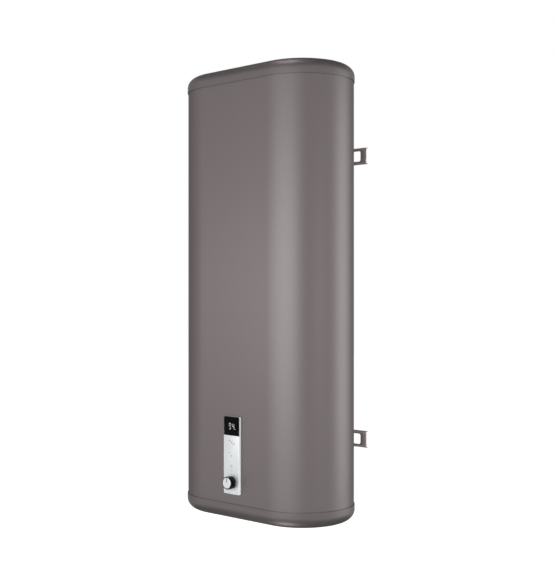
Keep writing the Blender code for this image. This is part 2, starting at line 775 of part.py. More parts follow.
def hot_outlet(body):
    """Threaded nipple and the standpipe that draws hot water from the top of the left tank."""
    relief = NIPPLE_RADIUS - NIPPLE_THREAD_RELIEF
    shoulder = NIPPLE_RADIUS - STANDPIPE_RADIUS
    top = TANK_TOP - STANDPIPE_CROWN_GAP
    section = [
        (NIPPLE_BORE, -NIPPLE_DROP),
        (relief, -NIPPLE_DROP),
        (relief, NIPPLE_THREAD - NIPPLE_DROP - NIPPLE_THREAD_RELIEF),
        (NIPPLE_RADIUS, NIPPLE_THREAD - NIPPLE_DROP),
        (NIPPLE_RADIUS, NIPPLE_TOP),
        (STANDPIPE_RADIUS, NIPPLE_TOP + shoulder),
        (STANDPIPE_RADIUS, top),
        (STANDPIPE_BORE, top),
        (STANDPIPE_BORE, NIPPLE_TOP),
        (NIPPLE_BORE, NIPPLE_TOP - shoulder),
    ]
    steel = finish("hot_outlet_steel", (0.60, 0.60, 0.60), 0.30, 1)
    pipe = turned(section, PIPE_SIDES, joined=True)
    return place("hot_outlet_pipe", pipe, steel, body, (-PIPE_OFFSET, 0, 0))


def transfer_pipe(body):
    """Pipe from the top of the right tank, under both, into the bottom of the left one."""
    corners = [
        (TRANSFER_X, TRANSFER_Y, TANK_TOP - STANDPIPE_CROWN_GAP),
        (TRANSFER_X, TRANSFER_Y, TRANSFER_DROP),
        (-TRANSFER_X, TRANSFER_Y, TRANSFER_DROP),
        (-TRANSFER_X, TRANSFER_Y, TRANSFER_OUTLET),
    ]
    path = round_path(corners, TRANSFER_BEND, BEND_STEPS)
    steel = finish("transfer_pipe_steel", (0.60, 0.60, 0.60), 0.32, 1)
    pipe = hollow_tube(path, STANDPIPE_RADIUS, STANDPIPE_BORE, PIPE_SIDES)
    return place("transfer_pipe", pipe, steel, body)


def collar(name, colour, side, body):
    """Coloured plastic collar that marks a nipple and closes its hole in the cover."""
    bore = (NIPPLE_RADIUS + SEAT_GAP) / cos(pi / PIPE_SIDES)
    seat = COVER_FACE - SEAT_GAP
    top = seat + COLLAR_HEIGHT
    section = [
        (bore, seat - COLLAR_FLANGE),
        (COLLAR_RADIUS - COLLAR_FLANGE / 2, seat - COLLAR_FLANGE),
        (COLLAR_RADIUS, seat - COLLAR_FLANGE / 2),
        (COLLAR_RADIUS, seat),
        (bore + COLLAR_BARREL - SEAT_GAP, seat),
        (bore + COLLAR_BARREL - SEAT_GAP, top),
        (bore, top),
    ]
    plastic = finish(name + "_plastic", colour, 0.4, 0)
    return place(name, turned(section, PIPE_SIDES, joined=True), plastic, body, (side * PIPE_OFFSET, 0, 0))


def element_places():
    return [(side * ELEMENT_HALF_SPREAD, -ELEMENT_SETBACK) for side in (-1, 1)]


def cartridge(name, side, body):
    """Heating cartridge of one tank: gasket, flange, element, anode and thermowell."""
    where = (side * TANK_X, 0, 0)
    rubber = finish(name + "_gasket_rubber", (0.02, 0.02, 0.022), 0.7, 0)
    top = NECK_RING_FACE - SEAT_GAP
    low = top - GASKET
    outer = NECK_BORE + GASKET_WIDTH
    ring = turned([(NECK_BORE, low), (outer, low), (outer, top), (NECK_BORE, top)], TANK_SIDES, joined=True)
    place(name + "_gasket", ring, rubber, body, where)

    steel = finish(name + "_flange_steel", (0.50, 0.50, 0.51), 0.38, 1)
    edge = FLANGE_PLATE / 4
    disc = turned([
        (NECK_RING_RADIUS - edge, FLANGE_BOTTOM),
        (NECK_RING_RADIUS, FLANGE_BOTTOM + edge),
        (NECK_RING_RADIUS, FLANGE_TOP),
    ], TANK_SIDES)
    flange = place(name + "_flange", disc, steel, body, where)
    low = FLANGE_BOTTOM - CUT_OVERRUN
    high = FLANGE_TOP + CUT_OVERRUN
    cut(flange, gathered([
        bores(stud_places(), STUD_RADIUS + SEAT_GAP, low, high),
        bores(element_places(), ELEMENT_RADIUS + SEAT_GAP, low, high),
        bores([(0, ANODE_OFFSET)], ANODE_STUD_RADIUS + SEAT_GAP, low, high),
        bores([(side * WELL_OFFSET_X, WELL_OFFSET_Y)], WELL_RADIUS + SEAT_GAP, low, high),
    ]), name + "_flange_holes")

    heating_element(name, where, body)
    anode_and_well(name, side, where, body)
    flange_nuts(name, where, body)


def heating_element(name, where, body):
    """Sheathed hairpin element with its two terminal pins below the flange."""
    bend = ELEMENT_HALF_SPREAD - ELEMENT_PIN_RADIUS / 2
    left, right = element_places()
    shoulder = ELEMENT_PIN_TIP + ELEMENT_PIN
    corners = [(*left, shoulder), (*left, ELEMENT_TOP), (*right, ELEMENT_TOP), (*right, shoulder)]
    path = round_path(corners, bend, BEND_STEPS)
    step = ELEMENT_RADIUS - ELEMENT_PIN_RADIUS
    tip = [Vector((*left, ELEMENT_PIN_TIP)), Vector((*left, shoulder - step))]
    far_tip = [Vector((*right, shoulder - step)), Vector((*right, ELEMENT_PIN_TIP))]
    points = tip + path + far_tip
    radii = [ELEMENT_PIN_RADIUS] * 2 + [ELEMENT_RADIUS] * len(path) + [ELEMENT_PIN_RADIUS] * 2
    sheath = finish(name + "_element_sheath", (0.46, 0.45, 0.44), 0.36, 1)
    place(name + "_element", skin(along(points, radii, ELEMENT_SIDES)), sheath, body, where)


def anode_and_well(name, side, where, body):
    """Magnesium anode on its stud, and the thermowell that takes the sensor."""
    magnesium = finish(name + "_anode_magnesium", (0.58, 0.57, 0.55), 0.6, 1)
    base = FLANGE_TOP + SEAT_GAP
    rod = turned([
        (ANODE_STUD_RADIUS, ANODE_STUD_TIP),
        (ANODE_STUD_RADIUS, base),
        (ANODE_RADIUS, base),
        (ANODE_RADIUS, base + ANODE_LENGTH - ANODE_RADIUS / 4),
        (ANODE_RADIUS * ANODE_TIP_SHARE, base + ANODE_LENGTH),
    ], SMALL_SIDES, centre=(0, ANODE_OFFSET))
    place(name + "_anode", rod, magnesium, body, where)

    steel = finish(name + "_thermowell_steel", (0.60, 0.60, 0.60), 0.3, 1)
    bore = WELL_RADIUS - WELL_WALL
    top = WELL_TIP + WELL_LENGTH
    well = turned([
        (bore, top),
        (WELL_RADIUS, top - WELL_WALL),
        (WELL_RADIUS, WELL_TIP),
        (bore, WELL_TIP),
        (bore, top - 2 * WELL_WALL),
    ], SMALL_SIDES, centre=(side * WELL_OFFSET_X, WELL_OFFSET_Y))
    place(name + "_thermowell", well, steel, body, where)


def hexagon(flats, height, centre=(0, 0)):
    """Twelve points round a hexagon: its corners and the middles of its flats."""
    points = []
    for step in range(SMALL_SIDES):
        angle = 2 * pi * (step + 0.5) / SMALL_SIDES
        reach = flats / 2 if step % 2 else flats / 2 / cos(pi / 6)
        points.append(Vector((centre[0] + reach * cos(angle), centre[1] + reach * sin(angle), height)))
    return points


def flange_nuts(name, where, body):
    """Hexagon nuts that clamp the flange on the neck's studs."""
    zinc = finish(name + "_nut_zinc", (0.62, 0.62, 0.60), 0.33, 1)
    high = FLANGE_BOTTOM - SEAT_GAP
    low = high - NUT_HEIGHT
    bore = (STUD_RADIUS + THREAD_CLEARANCE) / cos(pi / SMALL_SIDES)
    for number, (x, y) in enumerate(stud_places(), start=1):
        rings = [
            hexagon(NUT_FLATS, low),
            hexagon(NUT_FLATS, high),
            circle(bore, high, SMALL_SIDES),
            circle(bore, low, SMALL_SIDES),
        ]
        place(f"{name}_nut_{number}", skin(rings, joined=True), zinc, body, (where[0] + x, where[1] + y, 0))


def pressed_grid(columns, rows, level):
    """Open sheet over a grid of (up, out) rows, its pads sunk by level and creased at their corners."""
    sheet = bmesh.new()
    grid = []
    for up, out in rows:
        grid.append([sheet.verts.new((column, up, out + level(column, up))) for column in columns])
    for near, far in zip(grid, grid[1:]):
        for index in range(1, len(near)):
            corners = (near[index - 1], far[index - 1], far[index], near[index])
            depths = [corner.co.z for corner in corners]
            if depths.count(min(depths)) > 1:
                sheet.faces.new(corners)
                continue
            lone = depths.index(min(depths))
            first, second, third, fourth = corners[lone:] + corners[:lone]
            sheet.faces.new((first, second, third))
            sheet.faces.new((first, third, fourth))
    return sheet


def pad_level(middles, length, width, flare, depth):
    """Depth of a pressed sheet at a place: full inside a pad's floor, else none."""
    def level(along_sheet, up):
        for middle in middles:
            beside = abs(along_sheet - middle) < length / 2 - flare / 2
            if beside and abs(up) < width / 2 - flare / 2:
                return -depth
        return 0
    return level


def pad_columns(middles, length, flare, end):
    """Grid lines along a pressed sheet: its ends, and each pad's rim and floor."""
    columns = [-end, end]
    for middle in middles:
        for side in (-1, 1):
            columns += [middle + side * length / 2, middle + side * (length / 2 - flare)]
    return sorted(columns)


def bolt_places():
    return [(-FOOT_OFFSET, 0), (FOOT_OFFSET, 0)]


def bracket(name, wall):
    """Pressed hook bracket: a web with two windows, two feet on the casing, and lips on the wall."""
    depth = BRACKET_WEB - SEAT_GAP
    feet = (-FOOT_OFFSET, FOOT_OFFSET)
    half = BRACKET_WIDTH / 2
    upper_rows = [
        (FOOT_WIDTH / 2 - FOOT_FLARE, 0),
        (FOOT_WIDTH / 2, 0),
        (half - BRACKET_BEND, 0),
        (half, BRACKET_BEND),
        (half, BRACKET_LIP),
    ]
    rows = [(-up, out) for up, out in reversed(upper_rows)] + upper_rows
    level = pad_level(feet, FOOT_LENGTH, FOOT_WIDTH, FOOT_FLARE, depth)
    columns = pad_columns(feet, FOOT_LENGTH, FOOT_FLARE, BRACKET_LENGTH / 2)
    sheet = pressed_grid(columns, rows, level)
    paint = finish(name + "_paint", (0.150, 0.132, 0.130), 0.42, 0.5)
    strip = sheet_metal(name, sheet, BRACKET_SHEET, paint, wall, (0, 0, BRACKET_WEB))
    windows = []
    for side in (-1, 1):
        middle = side * (BRACKET_LENGTH / 2 - WINDOW_EDGE - WINDOW_WIDTH / 2)
        windows.append(skin([
            rounded_rectangle(WINDOW_WIDTH, WINDOW_HEIGHT, WINDOW_CORNER, height, (middle, 0))
            for height in (-CUT_OVERRUN, BRACKET_SHEET + CUT_OVERRUN)
        ]))
    cut(strip, gathered(windows), name + "_windows")
    holes = bores(bolt_places(), BOLT_RADIUS + SEAT_GAP, -BRACKET_WEB, 0)
    cut(strip, holes, name + "_bolt_holes")
    return strip


def sheet_metal(name, sheet, thickness, material, wall, location):
    """Give an open sheet its thickness towards the wall and inside its bends."""
    mesh = bpy.data.meshes.new(name)
    sheet.to_mesh(mesh)
    sheet.free()
    mesh.materials.append(material)
    strip = bpy.data.objects.new(name, mesh)
    bpy.context.scene.collection.objects.link(strip)
    strip.parent = wall
    strip.location = location
    solidify = strip.modifiers.new("sheet", 'SOLIDIFY')
    solidify.thickness = thickness
    solidify.offset = -1
    solidify.use_even_offset = True
    return strip


def hanger_solid(clearance, depth, relief=0):
    """Pressed plate as a solid: grown by a clearance, pads deepened by a relief, carried back by a depth."""
    pads = (-HANGER_PAD_OFFSET, HANGER_PAD_OFFSET)
    length = HANGER_PAD_LENGTH + 2 * clearance
    width = HANGER_PAD_WIDTH + 2 * clearance
    reach = HANGER_FACE - HANGER_PAD_FACE + relief
    level = pad_level(pads, length, width, HANGER_PAD_FLARE, reach)
    columns = pad_columns(pads, length, HANGER_PAD_FLARE, HANGER_LENGTH / 2 + clearance)
    ups = [width / 2 - HANGER_PAD_FLARE, width / 2, HANGER_WIDTH / 2 + clearance]
    rows = [(up, HANGER_FACE - clearance) for up in [-up for up in reversed(ups)] + ups]
    plate = pressed_grid(columns, rows, level)
    extrusion = bmesh.ops.extrude_face_region(plate, geom=plate.faces)
    moved = [part for part in extrusion["geom"] if isinstance(part, bmesh.types.BMVert)]
    bmesh.ops.translate(plate, verts=moved, vec=(0, 0, depth))
    return plate


def hanger(name, wall):
    """Plate behind the casing, welded to the tanks at two pressed pads, with two weld nuts."""
    steel = finish(name + "_steel", (0.45, 0.45, 0.46), 0.45, 1)
    plate = place(name, hanger_solid(0, HANGER_SHEET), steel, wall)
    nut_low = HANGER_FACE - WELD_NUT
    nuts = pins(bolt_places(), WELD_NUT_RADIUS, nut_low, HANGER_FACE + HANGER_SHEET / 2)
    join(plate, nuts, name + "_weld_nuts")
    holes = bores(bolt_places(), BOLT_RADIUS + SEAT_GAP, nut_low - CUT_OVERRUN, CUT_OVERRUN)
    cut(plate, holes, name + "_bolt_holes")
    return plate


def bracket_bolts(name, wall):
    """Hexagon bolts with washers that clamp a bracket's feet to the hanger plate."""
    zinc = finish(name + "_bolt_zinc", (0.60, 0.60, 0.58), 0.35, 1)
    seat = BRACKET_SHEET + 2 * SEAT_GAP
    for number, (x, y) in enumerate(bolt_places(), start=1):
        head = seat + BOLT_WASHER
        rings = [
            circle(BOLT_RADIUS, seat - BOLT_LENGTH, SMALL_SIDES),
            circle(BOLT_RADIUS, seat, SMALL_SIDES),
            circle(BOLT_WASHER_RADIUS, seat, SMALL_SIDES),
            circle(BOLT_WASHER_RADIUS, head, SMALL_SIDES),
            hexagon(BOLT_HEAD_FLATS, head),
            hexagon(BOLT_HEAD_FLATS, head + BOLT_HEAD),
        ]
        place(f"{name}_bolt_{number}", skin(rings), zinc, wall, (x, y, 0))


def bezel(panel):
    """Chrome frame on the casing, with a ledge for the face and a collar through the opening."""
    ledge = PANEL_PROUD - BEZEL_LEDGE
    collar_inner = BEZEL_COLLAR_INSET + BEZEL_COLLAR_WALL
    section = [
        (BEZEL_CHAMFER, PANEL_PROUD),
        (0, PANEL_PROUD - BEZEL_CHAMFER),
        (0, SEAT_GAP),
        (BEZEL_COLLAR_INSET, SEAT_GAP),
        (BEZEL_COLLAR_INSET, -BEZEL_COLLAR_DEPTH),
        (collar_inner, -BEZEL_COLLAR_DEPTH),
        (collar_inner, ledge),
        (BEZEL_RIM, ledge),
        (BEZEL_RIM, PANEL_PROUD),
    ]
    chrome = finish("panel_bezel_chrome", (0.72, 0.72, 0.73), 0.08, 1)
    rings = [panel_ring(inset, height) for inset, height in section]
    return place("panel_bezel", skin(rings, joined=True), chrome, panel)


def panel_face(panel):
    """Brushed plate below and dark display window above, both seated on the bezel's ledge."""
    width = PANEL_WIDTH - 2 * (BEZEL_RIM + SEAT_GAP)
    half = PANEL_HEIGHT / 2 - BEZEL_RIM - SEAT_GAP
    split = half - DISPLAY_HEIGHT
    low = PANEL_PROUD - BEZEL_LEDGE + SEAT_GAP
    aluminium = finish("panel_plate_aluminium", (0.60, 0.59, 0.59), 0.30, 1)
    length = split - SEAT_GAP + half
    middle = (0, (split - SEAT_GAP - half) / 2)
    rings = [
        rounded_rectangle(width, length, PANEL_INNER_CORNER, height, middle)
        for height in (low, PANEL_FACE)
    ]
    plate = place("panel_plate", skin(rings), aluminium, panel)
    inner = RING_RADIUS - RING_WIDTH
    floor = PANEL_FACE - RING_DEPTH
    over = PANEL_FACE + CUT_OVERRUN
    groove = [(inner, floor), (RING_RADIUS, floor), (RING_RADIUS, over), (inner, over)]
    cut(plate, gathered([
        turned(groove, TANK_SIDES, joined=True, centre=(0, KNOB_Y)),
        bores([(0, KNOB_Y)], SPINDLE_RADIUS + SEAT_GAP, low - CUT_OVERRUN, over),
    ]), "plate_cuts")

    glass = finish("display_window_glass", (0.006, 0.006, 0.007), 0.05, 0)
    middle = (0, split + DISPLAY_HEIGHT / 2)
    rings = [
        rounded_rectangle(width, DISPLAY_HEIGHT, PANEL_INNER_CORNER, height, middle)
        for height in (low, PANEL_FACE)
    ]
    place("display_window", skin(rings), glass, panel)


def panel_box(panel, body):
    """Moulded tray in the insulation, with pillars for the control board and a hole for its lead."""
    rings = [
        rounded_rectangle(BOX_WIDTH, BOX_HEIGHT, PANEL_CORNER, BOX_FLOOR),
        rounded_rectangle(BOX_WIDTH, BOX_HEIGHT, PANEL_CORNER, BOX_MOUTH),
        rounded_rectangle(BOX_INNER_WIDTH, BOX_INNER_HEIGHT, PANEL_INNER_CORNER, BOX_MOUTH),
        rounded_rectangle(BOX_INNER_WIDTH, BOX_INNER_HEIGHT, PANEL_INNER_CORNER, BOX_FLOOR + BOX_WALL),
    ]
    plastic = finish("panel_box_plastic", (0.42, 0.42, 0.41), 0.6, 0)
    box = place("panel_box", skin(rings), plastic, panel)
    spread_x = BOX_INNER_WIDTH / 2 - BOARD_MARGIN - PILLAR_INSET
    spread_y = BOX_INNER_HEIGHT / 2 - BOARD_MARGIN - PILLAR_INSET
    places = [(x, y) for x in (-spread_x, spread_x) for y in (-spread_y, spread_y)]
    top = -BOARD_DEPTH - BOARD_SHEET - SEAT_GAP
    join(box, pins(places, PILLAR_RADIUS, BOX_FLOOR + BOX_WALL / 2, top), "box_pillars")
    low = PANEL_CENTRE - BOX_HEIGHT / 2 - CUT_OVERRUN
    hole = bores([(LEAD_X, LEAD_Y)], LEAD_RADIUS + SEAT_GAP, low, low + BOX_WALL + 2 * CUT_OVERRUN)
    cut(box, hole, "lead_hole", body)


def control_board(panel):
    """Board behind the face, with the socket for its lead, the display and the potentiometer."""
    width = BOX_INNER_WIDTH - 2 * BOARD_MARGIN
    height = BOX_INNER_HEIGHT - 2 * BOARD_MARGIN
    green = finish("control_board_laminate", (0.02, 0.16, 0.07), 0.5, 0)
    laminate = block(width, height, -BOARD_DEPTH - BOARD_SHEET, -BOARD_DEPTH)
    board = place("control_board", laminate, green, panel)
    socket_y = SOCKET_FOOT + SOCKET_WIDTH / 2 - PANEL_CENTRE
    socket = block(
        SOCKET_LENGTH, SOCKET_WIDTH,
        -BOARD_DEPTH - BOARD_SHEET / 2, SOCKET_HEIGHT - BOARD_DEPTH,
        (LEAD_X, socket_y),
    )
    join(board, socket, "control_board_socket")

    base = SEAT_GAP - BOARD_DEPTH
    top = PANEL_PROUD - BEZEL_LEDGE + SEAT_GAP - MODULE_WINDOW_GAP
    middle = (0, PANEL_HEIGHT / 2 - BEZEL_RIM - DISPLAY_HEIGHT / 2)
    white = finish("display_module_plastic", (0.75, 0.75, 0.73), 0.5, 0)
    module = place("display_module", block(MODULE_WIDTH, MODULE_HEIGHT, base, top, middle), white, panel)
    soften(module, BOARD_SHEET / 2)

    bore = (SPINDLE_RADIUS + SEAT_GAP) / cos(pi / SMALL_SIDES)
    section = [
        (POT_RADIUS, base),
        (POT_RADIUS, base + POT_DEPTH),
        (POT_BUSH_RADIUS, base + POT_DEPTH),
        (POT_BUSH_RADIUS, base + POT_DEPTH + POT_BUSH),
        (bore, base + POT_DEPTH + POT_BUSH),
        (bore, base + POT_DEPTH + POT_BUSH - SPINDLE_ENTRY),
    ]
    zinc = finish("potentiometer_zinc", (0.55, 0.55, 0.55), 0.4, 1)
    place("potentiometer", turned(section, SMALL_SIDES), zinc, panel, (0, KNOB_Y, 0))


def temperature_knob(axis):
    """Spindle, hollow knob body and its brushed cap with a pointer, all turning on one axis."""
    spindle_low = SEAT_GAP - BOARD_DEPTH + POT_DEPTH + POT_BUSH - SPINDLE_ENTRY + SEAT_GAP
    spindle_high = KNOB_FRONT - KNOB_FACE_WALL - SEAT_GAP
    steel = finish("knob_spindle_steel", (0.58, 0.58, 0.58), 0.3, 1)
    spindle = turned([
        (SPINDLE_RADIUS, spindle_low),
        (SPINDLE_RADIUS, spindle_high - KNOB_EDGE),
        (SPINDLE_RADIUS - KNOB_EDGE, spindle_high),
    ], SMALL_SIDES)
    shaft = place("knob_spindle", spindle, steel, axis)
    flat = block(
        2 * (SPINDLE_RADIUS + CUT_OVERRUN), CUT_OVERRUN,
        KNOB_BACK, KNOB_FRONT,
        (0, SPINDLE_FLAT + CUT_OVERRUN / 2),
    )
    cut(shaft, flat, "spindle_flat")

    seat = CAP_RADIUS + SEAT_GAP
    ceiling = KNOB_FRONT - KNOB_FACE_WALL
    bore = (SPINDLE_RADIUS + THREAD_CLEARANCE) / cos(pi / SMALL_SIDES)
    section = [
        (seat, KNOB_FRONT - CAP_SEAT),
        (seat, KNOB_FRONT),
        (KNOB_FRONT_RADIUS - KNOB_EDGE, KNOB_FRONT),
        (KNOB_FRONT_RADIUS, KNOB_FRONT - KNOB_EDGE),
        (KNOB_RADIUS, KNOB_BACK),
        (KNOB_RADIUS - KNOB_WALL, KNOB_BACK),
        (KNOB_RADIUS - KNOB_WALL, ceiling),
        (KNOB_HUB_RADIUS, ceiling),
        (KNOB_HUB_RADIUS, KNOB_BACK),
        (bore, KNOB_BACK),
        (bore, ceiling),
    ]
    gloss = finish("knob_body_gloss", (0.012, 0.012, 0.013), 0.12, 0)
    knob = place("knob_body", turned(section, KNOB_SIDES), gloss, axis)
    key_low = SPINDLE_FLAT + THREAD_CLEARANCE
    key_high = (SPINDLE_RADIUS + KNOB_HUB_RADIUS) / 2
    key = block(
        2 * SPINDLE_RADIUS, key_high - key_low,
        KNOB_BACK + KNOB_EDGE, ceiling + KNOB_EDGE,
        (0, (key_low + key_high) / 2),
    )
    join(knob, key, "bore_key")

    base = KNOB_FRONT - CAP_SEAT + SEAT_GAP
    top = base + CAP_THICKNESS
    disc = turned([
        (CAP_RADIUS, base),
        (CAP_RADIUS, top - CAP_CHAMFER),
        (CAP_RADIUS - CAP_CHAMFER, top),
    ], KNOB_SIDES)
    brushed = finish("knob_cap_aluminium", (0.62, 0.61, 0.60), 0.28, 1)
    cap = place("knob_cap", disc, brushed, axis)
    far = CAP_RADIUS + CUT_OVERRUN
    groove = block(
        POINTER_WIDTH, far - POINTER_START,
        top - POINTER_DEPTH, top + CUT_OVERRUN,
        (0, (far + POINTER_START) / 2),
    )
    cut(cap, groove, "pointer_groove")


def component_plate(body):
    """Plate against the insulation that carries the power board, the cut-out and the terminals."""
    middle = (0, (PLATE_BACK + PLATE_FRONT) / 2)
    zinc = finish("component_plate_zinc", (0.52, 0.52, 0.52), 0.45, 1)
    sheet = block(2 * PLATE_HALF_WIDTH, PLATE_DEPTH, PLATE_UNDERSIDE, PLATE_UNDERSIDE + PLATE_SHEET, middle)
    plate = place("component_plate", sheet, zinc, body)
    reach_x = POWER_BOARD_WIDTH / 2 - POWER_BOARD_MARGIN
    reach_y = POWER_BOARD_DEPTH / 2 - POWER_BOARD_MARGIN
    places = [
        (POWER_BOARD_X + x, POWER_BOARD_Y + y) for x in (-reach_x, reach_x) for y in (-reach_y, reach_y)
    ]
    low = PLATE_UNDERSIDE - STANDOFF
    join(plate, pins(places, STANDOFF_RADIUS, low, PLATE_UNDERSIDE + PLATE_SHEET / 2), "plate_standoffs")


def power_board(body):
    """Board with relays that switch the elements, hanging under the plate's standoffs."""
    top = PLATE_UNDERSIDE - STANDOFF - SEAT_GAP
    low = top - BOARD_SHEET
    middle = (POWER_BOARD_X, POWER_BOARD_Y)
    green = finish("power_board_laminate", (0.03, 0.18, 0.08), 0.5, 0)
    laminate = block(POWER_BOARD_WIDTH, POWER_BOARD_DEPTH, low, top, middle)
    board = place("power_board", laminate, green, body)
    bury = low + BOARD_SHEET / 2
    parts = []
    for relay in range(RELAY_COUNT):
        x = POWER_BOARD_X + (relay - (RELAY_COUNT - 1) / 2) * (RELAY_LENGTH + POWER_BOARD_MARGIN)
        y = POWER_BOARD_Y + POWER_BOARD_DEPTH / 2 - POWER_BOARD_MARGIN - RELAY_WIDTH
        parts.append(block(RELAY_LENGTH, RELAY_WIDTH, low - RELAY_HEIGHT, bury, (x, y)))
    socket_y = POWER_BOARD_Y - POWER_BOARD_DEPTH / 2 + SOCKET_WIDTH / 2
    parts.append(block(SOCKET_LENGTH, SOCKET_WIDTH, low - SOCKET_HEIGHT, bury, (LEAD_X, socket_y)))
    join(board, gathered(parts), "power_board_components")


def panel_lead(body):
    """Lead from the control board, down through the insulation, to the power board."""
    board_low = PLATE_UNDERSIDE - STANDOFF - SEAT_GAP - BOARD_SHEET
    level = board_low - SOCKET_HEIGHT / 2
    corners = [
        (LEAD_X, LEAD_Y, SOCKET_FOOT - SEAT_GAP),
        (LEAD_X, LEAD_Y, level),
        (LEAD_X, POWER_BOARD_Y - POWER_BOARD_DEPTH / 2 - SEAT_GAP, level),
    ]
    path = round_path(corners, LEAD_BEND, BEND_STEPS)
    rubber = finish("panel_lead_jacket", (0.03, 0.03, 0.03), 0.6, 0)
    place("panel_lead", skin(along(path, [LEAD_RADIUS] * len(path), ELEMENT_SIDES)), rubber, body)


def thermal_cutout(body, axis):
    """Safety cut-out under the plate, and its reset button, which pops down when it trips."""
    top = PLATE_UNDERSIDE - SEAT_GAP
    low = top - CUTOUT_HEIGHT
    middle = (CUTOUT_X, CUTOUT_Y)
    plastic = finish("thermal_cutout_plastic", (0.05, 0.05, 0.055), 0.5, 0)
    case = place("thermal_cutout", block(CUTOUT_LENGTH, CUTOUT_WIDTH, low, top, middle), plastic, body)
    join(case, pins([middle], CUTOUT_NOSE_RADIUS, low - CUTOUT_NOSE, low + CUTOUT_NOSE), "cutout_nose")
    deep = low - CUTOUT_NOSE + BUTTON_LENGTH - BUTTON_SHOW + SEAT_GAP
    bore = bores([middle], BUTTON_RADIUS + BUTTON_CLEARANCE, low - 2 * CUTOUT_NOSE, deep)
    cut(case, bore, "button_bore")

    tip = low - CUTOUT_NOSE - BUTTON_SHOW
    section = [
        (BUTTON_RADIUS - BUTTON_CLEARANCE, tip),
        (BUTTON_RADIUS, tip + BUTTON_CLEARANCE),
        (BUTTON_RADIUS, tip + BUTTON_LENGTH),
    ]
    red = finish("reset_button_plastic", (0.55, 0.03, 0.02), 0.4, 0)
    place("reset_button", turned(section, SMALL_SIDES), red, axis)


def terminal_block(block_datum):
    """Three-way terminal block for the supply, its wire entries running front to back."""
    plastic = finish("terminal_block_plastic", (0.72, 0.70, 0.62), 0.5, 0)
    half = BLOCK_WIDTH / 2
    base = place("terminal_block", block(BLOCK_LENGTH, BLOCK_HEIGHT, -half, half), plastic, block_datum)
    pitch = BLOCK_LENGTH / BLOCK_WAYS
    places = [((way - (BLOCK_WAYS - 1) / 2) * pitch, 0) for way in range(BLOCK_WAYS)]
    cut(base, bores(places, BLOCK_BORE_RADIUS, -half - CUT_OVERRUN, half + CUT_OVERRUN), "wire_entries")


def cable_gland(body):
    """Compression gland for the supply cable: dome, hexagon, thread through the cover, and locknut."""
    seat = COVER_FACE - SEAT_GAP
    nut = COVER_TOP + SEAT_GAP
    low = seat - GLAND_FLANGE - GLAND_DOME
    middle = (GLAND_X, GLAND_Y)
    sections = [
        (circle, GLAND_BORE, low),
        (circle, GLAND_DOME_RADIUS - GLAND_DOME / 4, low),
        (circle, GLAND_DOME_RADIUS, low + GLAND_DOME / 3),
        (circle, GLAND_DOME_RADIUS, seat - GLAND_FLANGE),
        (hexagon, GLAND_FLATS, seat - GLAND_FLANGE),
        (hexagon, GLAND_FLATS, seat),
        (circle, GLAND_THREAD_RADIUS, seat),
        (circle, GLAND_THREAD_RADIUS, nut),
        (hexagon, GLAND_FLATS, nut),
        (hexagon, GLAND_FLATS, nut + GLAND_FLANGE),
        (circle, GLAND_THREAD_RADIUS, nut + GLAND_FLANGE),
        (circle, GLAND_THREAD_RADIUS, nut + GLAND_THREAD),
        (circle, GLAND_BORE, nut + GLAND_THREAD),
    ]
    rings = []
    for shape, size, height in sections:
        ring = shape(size, height, SMALL_SIDES) if shape is circle else shape(size, height)
        rings.append([point + Vector((*middle, 0)) for point in ring])
    nylon = finish("cable_gland_nylon", (0.03, 0.03, 0.03), 0.55, 0)
    place("cable_gland", skin(rings, joined=True), nylon, body)


def water_heater():
    """Build the heater on its wall datum."""
    for old in list(bpy.data.objects):
        bpy.data.objects.remove(old)
    wall_datum = datum("wall_datum", None)
    body = datum("body_datum", wall_datum, (0, -WALL_PLANE, -HOOK_HEIGHT))
    panel = datum("panel_datum", body, (0, -CASING_FACE, PANEL_CENTRE), (pi / 2, 0, 0))
    upper = datum("upper_bracket_datum", body, (0, CASING_FACE, UPPER_BRACKET_HEIGHT), (pi / 2, 0, pi))
    lower = datum("lower_bracket_datum", body, (0, CASING_FACE, LOWER_BRACKET_HEIGHT), (pi / 2, 0, pi))
    knob_axis = datum("knob_axis", panel, (0, KNOB_Y, 0))
    button_axis = datum("reset_button_axis", body, (CUTOUT_X, CUTOUT_Y, 0))
    block_middle = PLATE_UNDERSIDE - SEAT_GAP - BLOCK_HEIGHT / 2
    block_datum = datum("terminal_block_datum", body, (BLOCK_X, BLOCK_Y, block_middle), (pi / 2, 0, 0))

    shell = casing(body, panel)
    for name, wall in (("upper", upper), ("lower", lower)):
        holes = bores(bolt_places(), BOLT_RADIUS + SEAT_GAP, -CASING_SHEET - CUT_OVERRUN, CUT_OVERRUN)
        cut(shell, holes, name + "_casing_bolt_holes", wall)
        bracket(name + "_bracket", wall)
        hanger(name + "_hanger_plate", wall)
        bracket_bolts(name, wall)
    top_lid(body)
    bottom_lid(body)
    service_cover(body)
    cover_screws(body)
    insulation(body, panel, upper, lower)

    for name, side in (("left", -1), ("right", 1)):
        tank(name + "_tank", side, body)
        cartridge(name, side, body)
    cold_inlet(body)
    hot_outlet(body)
    transfer_pipe(body)
    collar("hot_collar", (0.60, 0.03, 0.02), -1, body)
    collar("cold_collar", (0.02, 0.09, 0.50), 1, body)

    bezel(panel)
    panel_face(panel)
    panel_box(panel, body)
    control_board(panel)
    temperature_knob(knob_axis)
    component_plate(body)
    power_board(body)
    panel_lead(body)
    thermal_cutout(body, button_axis)
    terminal_block(block_datum)
    cable_gland(body)


water_heater()
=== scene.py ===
# %% [markdown]
# # A flat wall-hung storage water heater
#
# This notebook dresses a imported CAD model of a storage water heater: a tall stadium-shaped
# casing in taupe metallic paint, two pressed lids, a slim silver control panel with a
# display and a rotary knob, and hook brackets behind. The CAD pieces already stand in
# place, in metres. The box that they fill is noted first, because nothing may change it.

from math import atan, cos, pi, radians, sin

